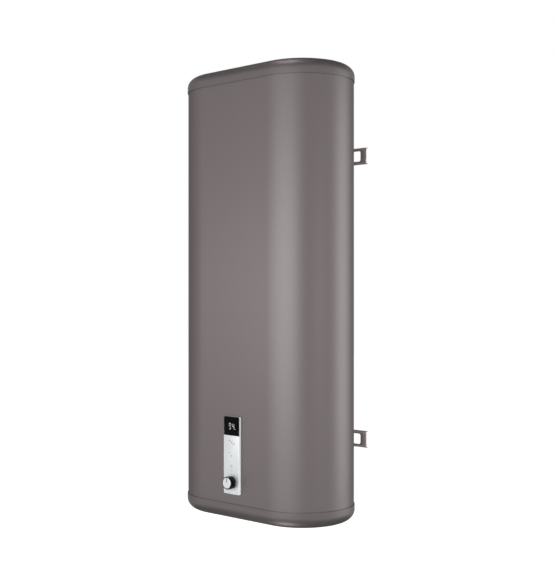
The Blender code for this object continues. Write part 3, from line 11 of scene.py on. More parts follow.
import bmesh
import bpy
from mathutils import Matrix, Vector


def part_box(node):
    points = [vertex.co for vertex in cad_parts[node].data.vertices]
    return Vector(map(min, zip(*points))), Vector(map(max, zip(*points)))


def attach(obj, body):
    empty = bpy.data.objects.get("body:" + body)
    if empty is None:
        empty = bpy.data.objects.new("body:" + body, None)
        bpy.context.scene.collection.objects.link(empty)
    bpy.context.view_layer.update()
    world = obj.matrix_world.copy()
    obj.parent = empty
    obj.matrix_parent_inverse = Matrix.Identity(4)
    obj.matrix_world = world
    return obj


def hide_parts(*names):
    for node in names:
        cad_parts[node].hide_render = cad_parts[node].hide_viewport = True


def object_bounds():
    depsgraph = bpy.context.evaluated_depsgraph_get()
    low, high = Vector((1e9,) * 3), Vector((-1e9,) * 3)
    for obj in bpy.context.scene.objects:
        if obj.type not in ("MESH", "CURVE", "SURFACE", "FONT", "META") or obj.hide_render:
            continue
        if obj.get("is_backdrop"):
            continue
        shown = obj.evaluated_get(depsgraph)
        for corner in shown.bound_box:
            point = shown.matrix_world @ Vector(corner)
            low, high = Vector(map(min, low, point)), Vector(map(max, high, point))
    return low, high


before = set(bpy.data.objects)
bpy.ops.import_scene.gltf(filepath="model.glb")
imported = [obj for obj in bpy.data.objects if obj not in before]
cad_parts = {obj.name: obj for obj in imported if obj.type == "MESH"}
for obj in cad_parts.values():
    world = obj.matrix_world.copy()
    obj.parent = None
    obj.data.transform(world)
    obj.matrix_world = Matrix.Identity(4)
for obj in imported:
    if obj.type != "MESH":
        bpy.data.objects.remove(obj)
cad_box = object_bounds()
print("pieces:", len(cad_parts), "box:", [round(v, 4) for corner in cad_box for v in corner])

# %% [markdown]
# ## Landmarks
#
# Everything is placed from boxes of CAD pieces, never by eye. The body is a stadium in
# plan: its depth gives the radius of the round ends, and the rest of its width is flat.

# %% Measure the body
def corners(node):
    """A CAD piece's lowest and highest corners, as vectors."""
    return [Vector(corner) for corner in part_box(node)]


def around(azimuth, distance, height=0):
    """A step away from the body's axis, its azimuth in degrees from the front."""
    turn = radians(azimuth)
    return Vector((distance * sin(turn), -distance * cos(turn), height))


lid_low, lid_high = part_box("top_lid")
AXIS_Y = (lid_low[1] + lid_high[1]) / 2
END_RADIUS = (lid_high[1] - lid_low[1]) / 2
FLAT_HALF = (lid_high[0] - lid_low[0]) / 2 - END_RADIUS
TOP = lid_high[2]
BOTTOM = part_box("bottom_lid")[0][2]
MIDDLE = Vector((0, AXIS_Y, (TOP + BOTTOM) / 2))
print(f"end radius {END_RADIUS:.4f}, half flat {FLAT_HALF:.4f}, height {TOP - BOTTOM:.4f}")

# %% [markdown]
# ## Camera
#
# The photograph was taken level, at half the body's height, about 43 degrees to the right
# of the front. Its perspective gives the distance, 2.4 body heights. The camera turns half
# a degree to the right, so the body stands a little left of the middle. The Standard view
# transform shows a colour as it is written.

# %% Set up the camera
CAMERA_AZIMUTH = 42.77
CAMERA_DISTANCE = 2.4 * (TOP - BOTTOM)
CAMERA_DROP = 0.0016
AIM_PIXELS = 8.6
FOCAL_PIXELS = 1054.3
LONG_SIDE = 587
SENSOR = 36
camera_data = bpy.data.cameras.new("product_camera")
camera_data.sensor_width = SENSOR
camera_data.lens = SENSOR * FOCAL_PIXELS / LONG_SIDE
camera = bpy.data.objects.new("product_camera", camera_data)
bpy.context.scene.collection.objects.link(camera)
camera.location = MIDDLE + around(CAMERA_AZIMUTH, CAMERA_DISTANCE, -CAMERA_DROP)
camera.rotation_euler = (pi / 2, 0, radians(CAMERA_AZIMUTH) - atan(AIM_PIXELS / FOCAL_PIXELS))
bpy.context.scene.camera = camera
bpy.context.scene.view_settings.view_transform = 'Standard'
print("camera at", [round(v, 3) for v in camera.location], "lens", round(camera_data.lens, 2))

# %% [markdown]
# ## Shader maths in plain Python
#
# Procedural finishes need many small sums. This class wraps a socket, so that
# `1 - mask * 0.2` in Python adds the nodes that work it out in the shader.

# %% A socket that can be calculated with
def maths(operation, turned=False):
    """An operator that adds one Math node, its two values turned round where asked."""
    def act(self, other):
        return self.sum_up(operation, *((other, self) if turned else (self, other)))
    return act


class Wire:
    """An output socket with arithmetic."""

    __add__ = __radd__ = maths("ADD")
    __sub__ = maths("SUBTRACT")
    __rsub__ = maths("SUBTRACT", turned=True)
    __mul__ = __rmul__ = maths("MULTIPLY")
    __truediv__ = maths("DIVIDE")
    __gt__ = maths("GREATER_THAN")
    __lt__ = maths("LESS_THAN")

    def __init__(self, tree, socket):
        self.tree = tree
        self.socket = socket

    def sum_up(self, operation, *values):
        node = self.tree.nodes.new("ShaderNodeMath")
        node.operation = operation
        for entry, value in zip(node.inputs, values):
            plug(self.tree, entry, value)
        return Wire(self.tree, node.outputs[0])

    def size(self):
        return self.sum_up("ABSOLUTE", self)

    def clamp(self):
        return self.sum_up("MINIMUM", self.sum_up("MAXIMUM", self, 0), 1)


def plug(tree, entry, value):
    """Link a wire to an input, or set its value."""
    if isinstance(value, Wire):
        tree.links.new(value.socket, entry)
    elif isinstance(value, tuple) and len(value) == 3 and entry.type == 'RGBA':
        entry.default_value = (*value, 1)
    else:
        entry.default_value = value

# %% [markdown]
# ## One way to add any node
#
# Each finish below is a `Finish`. Its `node` method takes a node's type, its settings and
# its inputs. Places come from Object coordinates, so a pattern sticks to its piece.

# %% The finish builder
class Finish:
    """A Principled material under construction."""

    def __init__(self, name, colour=(0.5, 0.5, 0.5), roughness=0.5, metallic=0.0):
        self.material = bpy.data.materials.new(name)
        self.material.use_nodes = True
        self.material.diffuse_color = (*colour, 1)
        self.tree = self.material.node_tree
        self.shader = self.tree.nodes["Principled BSDF"]
        self.set("Base Color", colour)
        self.set("Roughness", roughness)
        self.set("Metallic", metallic)
        self.place = self.node("TexCoord", out="Object")

    def node(self, kind, settings=None, inputs=None, out=0):
        node = self.tree.nodes.new("ShaderNode" + kind)
        for setting, value in (settings or {}).items():
            if setting == "stops":
                lay_stops(node.color_ramp, value)
            else:
                setattr(node, setting, value)
        for entry, value in (inputs or {}).items():
            plug(self.tree, node.inputs[entry], value)
        return Wire(self.tree, node.outputs[out])

    def set(self, entry, value):
        plug(self.tree, self.shader.inputs[entry], value)
        return self

    def axes(self, where=None):
        split = self.tree.nodes.new("ShaderNodeSeparateXYZ")
        plug(self.tree, split.inputs[0], where or self.place)
        return [Wire(self.tree, output) for output in split.outputs]

    def stretch(self, x=1, y=1, z=1, turn=(0, 0, 0), shift=(0, 0, 0)):
        inputs = {"Vector": self.place, "Scale": (x, y, z), "Rotation": turn, "Location": shift}
        return self.node("Mapping", inputs=inputs)

    def noise(self, scale, where=None, detail=3.0, roughness=0.5):
        where = where or self.place
        inputs = {"Vector": where, "Scale": scale, "Detail": detail, "Roughness": roughness}
        return self.node("TexNoise", inputs=inputs)

    def cells(self, scale, randomness=1.0, out=0):
        inputs = {"Vector": self.place, "Scale": scale, "Randomness": randomness}
        return self.node("TexVoronoi", inputs=inputs, out=out)

    def ramp(self, value, *stops):
        return self.node("ValToRGB", {"stops": stops}, {"Fac": value})

    def blend(self, factor, first, second):
        inputs = {0: factor, 6: first, 7: second}
        return self.node("Mix", {"data_type": 'RGBA', "clamp_factor": True}, inputs, out=2)

    def vary(self, factor, colour, dark, pale):
        """Let the base colour run from a darker to a paler tint of one colour."""
        return self.set("Base Color", self.blend(factor, tint(colour, dark), tint(colour, pale)))

    def mark(self, mask, colour):
        """Lay another colour over the base colour where a mask says so."""
        under = Wire(self.tree, self.shader.inputs["Base Color"].links[0].from_socket)
        return self.set("Base Color", self.blend(mask, under, colour))

    def bump(self, height, strength, distance):
        inputs = {"Height": height, "Strength": strength, "Distance": distance}
        self.set("Normal", self.node("Bump", inputs=inputs))


def lay_stops(ramp, stops):
    """Set a colour ramp's stops, each a place and a grey value or colour."""
    while len(ramp.elements) < len(stops):
        ramp.elements.new(1)
    for element, (position, shade) in zip(ramp.elements, stops):
        element.position = position
        element.color = (*shade, 1) if isinstance(shade, tuple) else (shade, shade, shade, 1)


def tint(colour, factor):
    return tuple(min(1.0, channel * factor) for channel in colour)

# %% [markdown]
# ## White studio
#
# The heater hangs in a white studio, clear of a pale floor. The world is white where the
# camera, a reflection or a refraction looks at it, and softer as a lamp. The floor adds a
# little white of its own and still takes the heater's soft shadow. It is clear from below.

# %% Build the world and the floor
WORLD_LIGHT = 0.60
world = bpy.data.worlds.new("white_studio")
bpy.context.scene.world = world
world.use_nodes = True
sky = world.node_tree
paths = sky.nodes.new("ShaderNodeLightPath")
camera_ray, glossy_ray, through_ray = (
    Wire(sky, paths.outputs[f"Is {kind} Ray"]) for kind in ("Camera", "Glossy", "Transmission"))
seen = (camera_ray + glossy_ray + through_ray).clamp()
backdrop = sky.nodes["Background"]
backdrop.inputs["Color"].default_value = (1, 1, 1, 1)
plug(sky, backdrop.inputs["Strength"], WORLD_LIGHT + seen * (1 - WORLD_LIGHT))

FLOOR_DROP = 0.45
bpy.ops.mesh.primitive_plane_add(size=24, location=(0, AXIS_Y, BOTTOM - FLOOR_DROP))
floor = bpy.context.object
floor.name = "studio_floor"
pale = Finish("studio_floor_paint", (0.88, 0.88, 0.88), 0.8)
grain = pale.noise(1.5)
pale.set("Base Color", pale.blend(grain, (0.87, 0.87, 0.87), (0.90, 0.90, 0.90)))
looked_at = pale.node("LightPath", out="Is Camera Ray")
pale.set("Emission Color", (1, 1, 1)).set("Emission Strength", 0.35 + looked_at * 0.12)
from_below = pale.node("NewGeometry", out="Backfacing")
paint, clear_side = Wire(pale.tree, pale.shader.outputs[0]), pale.node("BsdfTransparent")
surface = pale.node("MixShader", inputs={0: from_below, 1: paint, 2: clear_side})
plug(pale.tree, pale.tree.nodes["Material Output"].inputs[0], surface)
floor.data.materials.append(pale.material)
floor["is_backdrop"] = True
print("floor", round(floor.location.z, 3), "m, world as a lamp", WORLD_LIGHT)

# %% [markdown]
# ## Grey flags
#
# Photographers hang dark boards, called flags, where a glossy object should mirror less
# white. One over the heater and one under it darken the rounded rims of both lids, as in
# the photograph. Only reflections see them: the camera, lamps and shadows don't.

# %% Hang the flags
def flag(name, z, size, shade):
    """A dark level board that only shows in reflections."""
    bpy.ops.mesh.primitive_plane_add(size=size, location=(0, AXIS_Y, z))
    board = bpy.context.object
    board.name = name
    cloth = Finish(name + "_cloth", (shade, shade, shade), 0.9)
    weave = cloth.noise(300, detail=1)
    cloth.set("Base Color", cloth.blend(weave, (shade * 0.8,) * 3, (shade * 1.2,) * 3))
    board.data.materials.append(cloth.material)
    for ray in ("camera", "diffuse", "transmission", "shadow"):
        setattr(board, "visible_" + ray, False)
    board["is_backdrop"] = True
    print(name, "at", round(z, 3))


flag("upper_flag", TOP + 0.75, 2.4, 0.27)
flag("lower_flag", BOTTOM - FLOOR_DROP + 0.02, 2.0, 0.38)

# %% [markdown]
# ## Soft lamps
#
# Two bright stripes run down the casing. Each is the reflection of a tall soft lamp, and a
# mirror's rule says where it stands: the surface's normal lies half way between eye and
# lamp. The left stripe comes from a wide, cool lamp nearly straight in front, the right one
# from another behind the right side. Two weak lamps fill the front and the dark stripe. A
# small lamp overhead and one low down light the lids' crowns, and each bracket's end, in
# the body's shade, gets a narrow spot.

# %% Hang the lamps
def hang(data, place, target):
    """Hang a lamp at a place, so that it shines on a target."""
    lamp = bpy.data.objects.new(data.name, data)
    bpy.context.scene.collection.objects.link(lamp)
    lamp.location = place
    lamp.rotation_euler = (target - lamp.location).to_track_quat('-Z', 'Y').to_euler()


def soft_lamp(name, azimuth, distance, height, width, tall, power, colour=(1, 1, 1)):
    """A tall area lamp that faces the heater from one side."""
    data = bpy.data.lights.new(name, 'AREA')
    data.shape = 'RECTANGLE'
    data.size = width
    data.size_y = tall
    data.energy = power
    data.color = colour
    hang(data, MIDDLE + around(azimuth, distance, height), MIDDLE)
    print(f"{name}: azimuth {azimuth}, {width} x {tall} m, {power} W")


COOL = (0.90, 1.0, 1.0)
soft_lamp("front_lamp", 9, 2.6, 0.07, 2.5, 1.1, 31.5, COOL)
soft_lamp("right_rear_lamp", 137, 2.2, 0, 1.5, 1.9, 23, COOL)
soft_lamp("left_fill_lamp", -30, 2.8, 0, 1.1, 0.55, 6.5)
soft_lamp("right_fill_lamp", 78, 3.0, 0, 1.5, 0.9, 5.5)
soft_lamp("overhead_lamp", -16, 0.5, 2.0, 0.3, 0.3, 9)
soft_lamp("low_lamp", 16, 0.24, -0.99, 0.2, 0.2, 0.6)

# %% Light the ends of the brackets
SPOT_AZIMUTH = 62
SPOT_DISTANCE = 0.9
for side in ("upper", "lower"):
    low, high = corners(f"{side}_bracket")
    end = Vector((high.x - 0.012, low.y + 0.010, (low.z + high.z) / 2))
    data = bpy.data.lights.new(f"{side}_bracket_spot", 'SPOT')
    data.energy = 95
    data.spot_size = radians(4.6)
    data.spot_blend = 0.4
    data.shadow_soft_size = 0.01
    hang(data, end + around(SPOT_AZIMUTH, SPOT_DISTANCE), end)
    print(data.name, "aims at", [round(v, 3) for v in end])

# %% [markdown]
# ## Working with bpy.ops
#
# Blender's operators act on whatever is selected, so each step first says exactly what
# that is. These helpers clear the selection, pick parts by a test on their place, and at
# the end dress a finished piece: it gets its finish and rides on a body of the CAD frame.

# %% Helpers for edit mode
def clear():
    """Leave edit mode with nothing selected."""
    if bpy.context.object and bpy.context.object.mode != 'OBJECT':
        bpy.ops.object.mode_set(mode='OBJECT')
    bpy.ops.object.select_all(action='DESELECT')


def take(piece):
    """Make a piece the only selected and active one."""
    clear()
    piece.select_set(True)
    bpy.context.view_layer.objects.active = piece


def edit(piece, kind='FACE'):
    """Open a piece in edit mode with nothing selected."""
    take(piece)
    bpy.ops.object.mode_set(mode='EDIT')
    bpy.ops.mesh.select_mode(type=kind)
    bpy.ops.mesh.select_all(action='DESELECT')


def pick(piece, kind, test):
    """In edit mode, select the vertices, edges or faces that pass a test."""
    bpy.ops.mesh.select_mode(type=kind)
    bpy.ops.mesh.select_all(action='DESELECT')
    mesh = bmesh.from_edit_mesh(piece.data)
    parts = {'VERT': mesh.verts, 'EDGE': mesh.edges, 'FACE': mesh.faces}[kind]
    for part in [part for part in parts if test(part)]:
        part.select_set(True)
    mesh.select_flush_mode()
    bmesh.update_edit_mesh(piece.data)


def settle(piece):
    """Put an object's place, turn and scale into its mesh."""
    take(piece)
    bpy.ops.object.transform_apply(location=True, rotation=True, scale=True)
    return piece


def lay(piece, place, turn=None):
    """Turn a piece about the origin, then move it to its place."""
    if turn:
        piece.rotation_euler = turn
        settle(piece)
    piece.location = place
    return settle(piece)


def join(first, *others):
    """Join pieces into the first one."""
    take(first)
    for other in others:
        other.select_set(True)
    bpy.ops.object.join()
    return first


def round_edges(piece, offset, segments, test):
    """Bevel the edges whose two ends both pass a test on their place."""
    edit(piece, 'EDGE')
    pick(piece, 'EDGE', lambda edge: all(test(vert.co) for vert in edge.verts))
    bpy.ops.mesh.bevel(offset=offset, segments=segments)
    clear()


def inset(inward, rise=0):
    """In edit mode, inset the chosen faces and lift them."""
    bpy.ops.mesh.inset(thickness=inward, depth=0)
    if rise:
        bpy.ops.transform.translate(value=(0, 0, rise))


def extrude(x=0, z=0):
    """In edit mode, extrude what is chosen along X or Z."""
    bpy.ops.mesh.extrude_region_move(TRANSFORM_OT_translate={"value": (x, 0, z)})


def modify(piece, kind, **settings):
    """Add a modifier with its settings and apply it."""
    take(piece)
    modifier = piece.modifiers.new(kind.lower(), kind)
    for setting, value in settings.items():
        setattr(modifier, setting, value)
    bpy.ops.object.modifier_apply(modifier=modifier.name)
    return piece


def discard(piece):
    bpy.data.objects.remove(piece)


def carve(piece, cutter, operation='DIFFERENCE'):
    """Cut one mesh with another, and throw the cutter away."""
    modify(piece, 'BOOLEAN', object=cutter, operation=operation, solver='EXACT')
    discard(cutter)


def dress(piece, name, finish, node=None, body="heater", angle=35):
    """Finish a piece: name, shading, material, and its place in the CAD frame.
    """
    settle(piece)
    bpy.ops.object.shade_smooth_by_angle(angle=radians(angle))
    piece.name = name
    piece.data.name = name
    piece.data.materials.clear()
    piece.data.materials.append(finish.material)
    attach(piece, body)
    if node:
        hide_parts(node)
    print(f"{name}: {len(piece.data.polygons)} faces")

# %% [markdown]
# ## Taupe metallic paint
#
# The casing and lids wear a satin paint: a brown-grey base with aluminium flakes under a
# thin clear coat. Such paint is never flat. Flakes sparkle at half a millimetre, an orange
# peel is a few millimetres wide, and the sheet under it waves. Each gets a weak noise.

# %% Mix the metallic paint
def metallic_paint(name, colour, roughness=0.43, flake=0.06):
    """Satin metallic paint with flakes, orange peel and slight waves of the sheet."""
    paint = Finish(name, colour, roughness, 0.85)
    paint.set("Specular IOR Level", 0.3)
    paint.set("Specular Tint", (0.3, 0.3, 0.3))
    flakes = paint.noise(2600, detail=1)
    cloud = paint.noise(5, detail=2)
    shade = (flakes - 0.5) * flake * 2 + (cloud - 0.5) * 0.05
    paint.vary((shade + 0.5).clamp(), colour, 0.72, 1.28)
    peel = paint.noise(420, detail=1)
    dust = paint.noise(90, detail=5, roughness=0.7)
    paint.set("Roughness", roughness + (peel - 0.5) * 0.06 + (dust - 0.5) * 0.05)
    waves = paint.noise(7, paint.stretch(1, 1, 0.35), 1)
    paint.bump(peel * 0.02 + waves * 1.2, 0.25, 0.0006)
    return paint


TAUPE = (0.148, 0.126, 0.1265)
casing_paint = metallic_paint("casing_paint", TAUPE)
lid_paint = metallic_paint("lid_paint", tint(TAUPE, 0.90), 0.45)
lid_paint.set("Coat Weight", 0.14).set("Coat Roughness", 0.2)
print("paints:", casing_paint.material.name, lid_paint.material.name)

# %% [markdown]
# ## The casing
#
# On the real heater one sheet of steel is wrapped round the tanks and locked in a seam
# down the back. A cylinder is nearly there: its two halves are drawn apart. It is turned by
# half a facet first, so no vertex lies on the middle line. A cut near each end of the flats
# keeps the smooth shading of the curves from creeping over the flat front.

# %% Wrap the casing
SIDES = 192
SHEET = 0.001
GUARD = 0.004


def stadium(radius, low, high, fill='NGON'):
    """A cylinder round the body's axis, its halves drawn apart by the flat front's width."""
    clear()
    bpy.ops.mesh.primitive_cylinder_add(
        vertices=SIDES, radius=radius, depth=high - low, end_fill_type=fill,
        location=(0, AXIS_Y, (low + high) / 2), rotation=(0, 0, pi / SIDES),
    )
    piece = settle(bpy.context.object)
    edit(piece)
    for side in (-1, 1):
        pick(piece, 'VERT', lambda vert: side * vert.co.x > 0)
        bpy.ops.transform.translate(value=(side * FLAT_HALF, 0, 0))
    return piece


def guard_flats(piece):
    """Cut a loop a little inside each end of the flats."""
    for side in (-1, 1):
        bpy.ops.mesh.select_all(action='SELECT')
        bpy.ops.mesh.bisect(plane_co=(side * (FLAT_HALF - GUARD), AXIS_Y, 0), plane_no=(1, 0, 0))


shell_low, shell_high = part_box("casing_shell")
CASING_RADIUS = (shell_high[1] - shell_low[1]) / 2
casing = stadium(CASING_RADIUS, shell_low[2], shell_high[2], 'NOTHING')
guard_flats(casing)
clear()
modify(casing, 'SOLIDIFY', thickness=SHEET, offset=-1)
print("casing radius", round(CASING_RADIUS, 4), "faces", len(casing.data.polygons))

# %% [markdown]
# The control panel's box goes through the front, so a block a little smaller than the panel
# cuts an opening. The seam down the back stands under a millimetre proud.

# %% Cut the panel opening and fold the back seam
frame_low, frame_high = corners("panel_bezel")
OPENING_INSET = 0.004
FRONT_Y = AXIS_Y - CASING_RADIUS
BACK_Y = AXIS_Y + CASING_RADIUS
SEAM_WIDTH = 0.011
SEAM_PROUD = 0.0008
SEAM_END = 0.014


def slab(low, high):
    """A cube drawn to a box."""
    clear()
    low, high = Vector(low), Vector(high)
    bpy.ops.mesh.primitive_cube_add(size=1, location=(low + high) / 2, scale=high - low)
    return settle(bpy.context.object)


carve(casing, slab(
    (frame_low.x + OPENING_INSET, FRONT_Y - 0.01, frame_low.z + OPENING_INSET),
    (frame_high.x - OPENING_INSET, FRONT_Y + 0.01, frame_high.z - OPENING_INSET),
))
dress(casing, "casing_sheet", casing_paint, "casing_shell", angle=30)

seam = slab(
    (-SEAM_WIDTH / 2, BACK_Y - SHEET / 2, shell_low[2] + SEAM_END),
    (SEAM_WIDTH / 2, BACK_Y + SEAM_PROUD, shell_high[2] - SEAM_END),
)
round_edges(seam, 0.0006, 3, lambda place: place.y > BACK_Y)
dress(seam, "back_seam", casing_paint)

# %% [markdown]
# ## The lids
#
# The lids are pressed from sheet: a rounded rim, a short straight lip over the casing and
# a hem. The rounding runs further in than down. Starting from a flat block, the top face is
# inset again and again, each time a little further in and a little less up, along a quarter
# ellipse. Then the underside is opened and the sheet gets its thickness.

# %% Press the lids
RIM_IN = 0.033
RIM_RISE = 0.029
LIP = 0.014
RIM_STEPS = 14


CROWNS = {1: TOP, -1: BOTTOM}


def pick_end(piece, up):
    """In edit mode, select the many-sided end face that looks up (1) or down (-1)."""
    pick(piece, 'FACE', lambda face: face.normal.z * up > 0.9 and len(face.verts) > 8)


def lid(up):
    """A pressed lid, rim up or down, still closed, in edit mode."""
    shoulder = CROWNS[up] - up * RIM_RISE
    piece = stadium(END_RADIUS, *sorted((shoulder, shoulder - up * LIP)))
    pick_end(piece, up)
    for step in range(RIM_STEPS):
        start = pi / 2 * step / RIM_STEPS
        end = pi / 2 * (step + 1) / RIM_STEPS
        inset(RIM_IN * (cos(start) - cos(end)), up * RIM_RISE * (sin(end) - sin(start)))
    return piece


def reach(point):
    """How far a point is from the body's middle plane between the two half circles."""
    return Vector((max(abs(point.x) - FLAT_HALF, 0), point.y - AXIS_Y)).length


def open_and_thicken(piece, up):
    """Take off the lip's end face, give the sheet its thickness, and round the hem."""
    pick_end(piece, -up)
    bpy.ops.mesh.delete(type='FACE')
    guard_flats(piece)
    clear()
    modify(piece, 'SOLIDIFY', thickness=SHEET, offset=-1)
    edge_z = CROWNS[up] - up * (RIM_RISE + LIP)
    round_edges(piece, 0.0003, 1, lambda place: abs(place.z - edge_z) < 1e-5
                and reach(place) > END_RADIUS - SHEET / 2)


top = lid(1)
open_and_thicken(top, 1)
dress(top, "top_lid_pressing", lid_paint, "top_lid", angle=30)

# %% [markdown]
# The bottom lid starts the same way. Its flat underside then steps up by 3 mm to a ledge,
# which takes the service cover, and the middle is open. Three more insets make that step.

# %% Press the bottom lid
LEDGE_IN = 0.042
LEDGE_SLOPE = 0.002
LEDGE_STEP = 0.003
LEDGE_WIDTH = 0.014

bottom = lid(-1)
inset(LEDGE_IN - RIM_IN)
inset(LEDGE_SLOPE, LEDGE_STEP)
inset(LEDGE_WIDTH)
bpy.ops.mesh.delete(type='FACE')
open_and_thicken(bottom, -1)
dress(bottom, "bottom_lid_pressing", lid_paint, "bottom_lid", angle=30)

# %% [markdown]
# ## Round pieces
#
# Knob, screws, collars and threads are all round. This helper draws a filled circle, and
# extrudes and scales it along a profile of radius and height. For a ring, the first and
# last discs fall on each other and come out.

# %% A helper for round pieces
def lathe(profile, sides=64, ring=False):
    """Extrude and scale a filled circle along a profile of (radius, height)."""
    clear()
    radius, height = profile[0]
    bpy.ops.mesh.primitive_circle_add(
        vertices=sides, radius=radius, fill_type='NGON', location=(0, 0, height))
    piece = settle(bpy.context.object)
    edit(piece)
    bpy.ops.mesh.select_all(action='SELECT')
    for wide, high in profile[1:]:
        extrude(z=high - height)
        scale = wide / radius
        bpy.ops.transform.resize(value=(scale, scale, 1), center_override=(0, 0, high))
        radius, height = wide, high
    if ring:
        pick(piece, 'FACE', lambda face: len(face.verts) > 4)
        bpy.ops.mesh.delete(type='FACE')
    bpy.ops.mesh.select_all(action='SELECT')
    bpy.ops.mesh.remove_doubles(threshold=1e-6)
    bpy.ops.mesh.normals_make_consistent(inside=False)
    clear()
    return piece


def hoop(inner, outer, low, high, sides):
    """A ring with square edges."""
    profile = [(inner, low), (outer, low), (outer, high), (inner, high), (inner, low)]
    return lathe(profile, sides, ring=True)


def double(piece, x=0, y=0):
    """A moved copy with its own mesh."""
    take(piece)
    bpy.ops.object.duplicate(linked=False)
    return lay(bpy.context.object, (x, y, 0))

# %% [markdown]
# ## Service cover
#
# A moulded plastic cover closes the bottom lid, and comes off to reach the cables. A
# shallow field is set into its face, and a rib inside finds its place in the opening. The
# plastic is the paint's grey-brown but not metallic, with a mould's fine eroded grain.

# %% Mould the service cover
def plastic(name, colour, roughness, grain_scale=1600, depth=0.00004):
    """Moulded plastic with a fine grain and faint flow marks."""
    finish = Finish(name, colour, roughness)
    grain = finish.noise(grain_scale, detail=2)
    flow = finish.noise(18, detail=3)
    finish.vary(flow, colour, 0.90, 1.10)
    finish.set("Roughness", roughness + (grain - 0.5) * 0.10 + (flow - 0.5) * 0.10)
    finish.bump(grain, 0.5, depth)
    return finish


COVER_PLATE = 0.0026
COVER_EDGE = 0.0003
COVER_MARGIN = 0.009
COVER_FIELD = 0.0006
COVER_RIB_IN = 0.014
COVER_RIB = 0.002
COLLAR_HOLE = 0.0131
GLAND_HOLE = 0.0083
SCREW_HOLE = 0.0023
cover_low, cover_high = corners("service_cover")
cold_low, cold_high = corners("cold_inlet_pipe")
NIPPLE_X = (cold_low.x + cold_high.x) / 2
gland_low, gland_high = corners("cable_gland")
GLAND_Y = (gland_low.y + gland_high.y) / 2
COVER_RADIUS = (cover_high.y - cover_low.y) / 2
cover = stadium(COVER_RADIUS, cover_low.z, cover_low.z + COVER_PLATE)
pick(cover, 'FACE', lambda face: face.normal.z < -0.9)
inset(COVER_EDGE)
inset(COVER_MARGIN)
inset(COVER_FIELD, COVER_FIELD)
pick(cover, 'FACE', lambda face: face.normal.z > 0.9)
inset(COVER_RIB_IN)
inset(COVER_RIB)
pick(cover, 'FACE', lambda face: face.normal.z > 0.9 and len(face.verts) == 4
     and COVER_RIB_IN < COVER_RADIUS - reach(face.calc_center_median()) < COVER_RIB_IN + COVER_RIB)
rib_height = cover_high.z - cover_low.z - COVER_PLATE
extrude(z=rib_height)
clear()
print("cover radius", round(COVER_RADIUS, 4), "rib", round(rib_height, 4))

# %% Pierce the cover
screw_places = []
for number in range(1, 5):
    low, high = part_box(f"cover_screw_{number}")
    screw_places.append(((low[0] + high[0]) / 2, (low[1] + high[1]) / 2))
holes = [(0, GLAND_Y, GLAND_HOLE)] + [(x, y, SCREW_HOLE) for x, y in screw_places]
holes = [(side * NIPPLE_X, AXIS_Y, COLLAR_HOLE) for side in (-1, 1)] + holes
for x, y, radius in holes:
    drill = lathe([(radius, cover_low.z - 0.01), (radius, cover_high.z + 0.01)], 48)
    carve(cover, lay(drill, (x, y, 0)))
cover_plastic = plastic("cover_plastic", (0.150, 0.135, 0.132), 0.50)
dress(cover, "service_cover_moulding", cover_plastic, "service_cover", angle=30)

# %% [markdown]
# ## Cover screws
#
# Four pan-head screws hold the cover. Their heads are domed, with a cross recess cut by
# two narrow blocks. Bright zinc has a mottled sheen.

# %% Turn one screw and copy it
def zinc(name, colour=(0.62, 0.62, 0.60), roughness=0.32):
    """Bright zinc plate: pale metal with a mottled sheen."""
    finish = Finish(name, colour, roughness, 1.0)
    spangle = finish.cells(260)
    haze = finish.noise(45, detail=4)
    finish.vary(haze, colour, 0.82, 1.12)
    finish.set("Roughness", roughness + (spangle - 0.4) * 0.10 + (haze - 0.5) * 0.16)
    finish.bump(spangle + haze, 0.3, 0.00004)
    return finish


screw_low, screw_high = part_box("cover_screw_1")
SCREW_HEAD = 0.0024
seat = screw_low[2] + SCREW_HEAD
screw = lathe([
    (0.0010, screw_high[2]), (0.0020, screw_high[2] - 0.001), (0.0020, seat), (0.0040, seat),
    (0.0040, seat - 0.0010), (0.0037, seat - 0.0017), (0.0030, seat - 0.0022),
    (0.0018, screw_low[2]),
], 40)
for long_x, long_y in ((0.0021, 0.0004), (0.0004, 0.0021)):
    carve(screw, slab((-long_x, -long_y, screw_low[2] - 0.001),
                      (long_x, long_y, screw_low[2] + 0.0013)))
screw_zinc = zinc("cover_screw_zinc")
for number, (x, y) in enumerate(screw_places, start=1):
    dress(double(screw, x, y), f"pan_head_screw_{number}", screw_zinc,
          f"cover_screw_{number}", angle=40)
discard(screw)

# %% [markdown]
# ## Soft edges on CAD pieces
#
# A CAD solid has knife edges, and nothing real has them: the thin highlight along a
# rounded edge makes a pressing look solid. A copy of the CAD mesh is merged, because it
# comes as loose triangles, flat neighbours are joined, and each sharp edge is bevelled.

# %% Copy a CAD piece and round its edges
def soften(node, width):
    """A merged copy of a CAD piece with rounded edges."""
    clear()
    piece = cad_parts[node].copy()
    piece.data = piece.data.copy()
    bpy.context.scene.collection.objects.link(piece)
    edit(piece)
    bpy.ops.mesh.select_all(action='SELECT')
    bpy.ops.mesh.remove_doubles(threshold=1e-6)
    bpy.ops.mesh.dissolve_limited(angle_limit=radians(1))
    clear()
    return modify(piece, 'BEVEL', width=width, segments=2, limit_method='ANGLE',
                  angle_limit=radians(28), use_clamp_overlap=True)
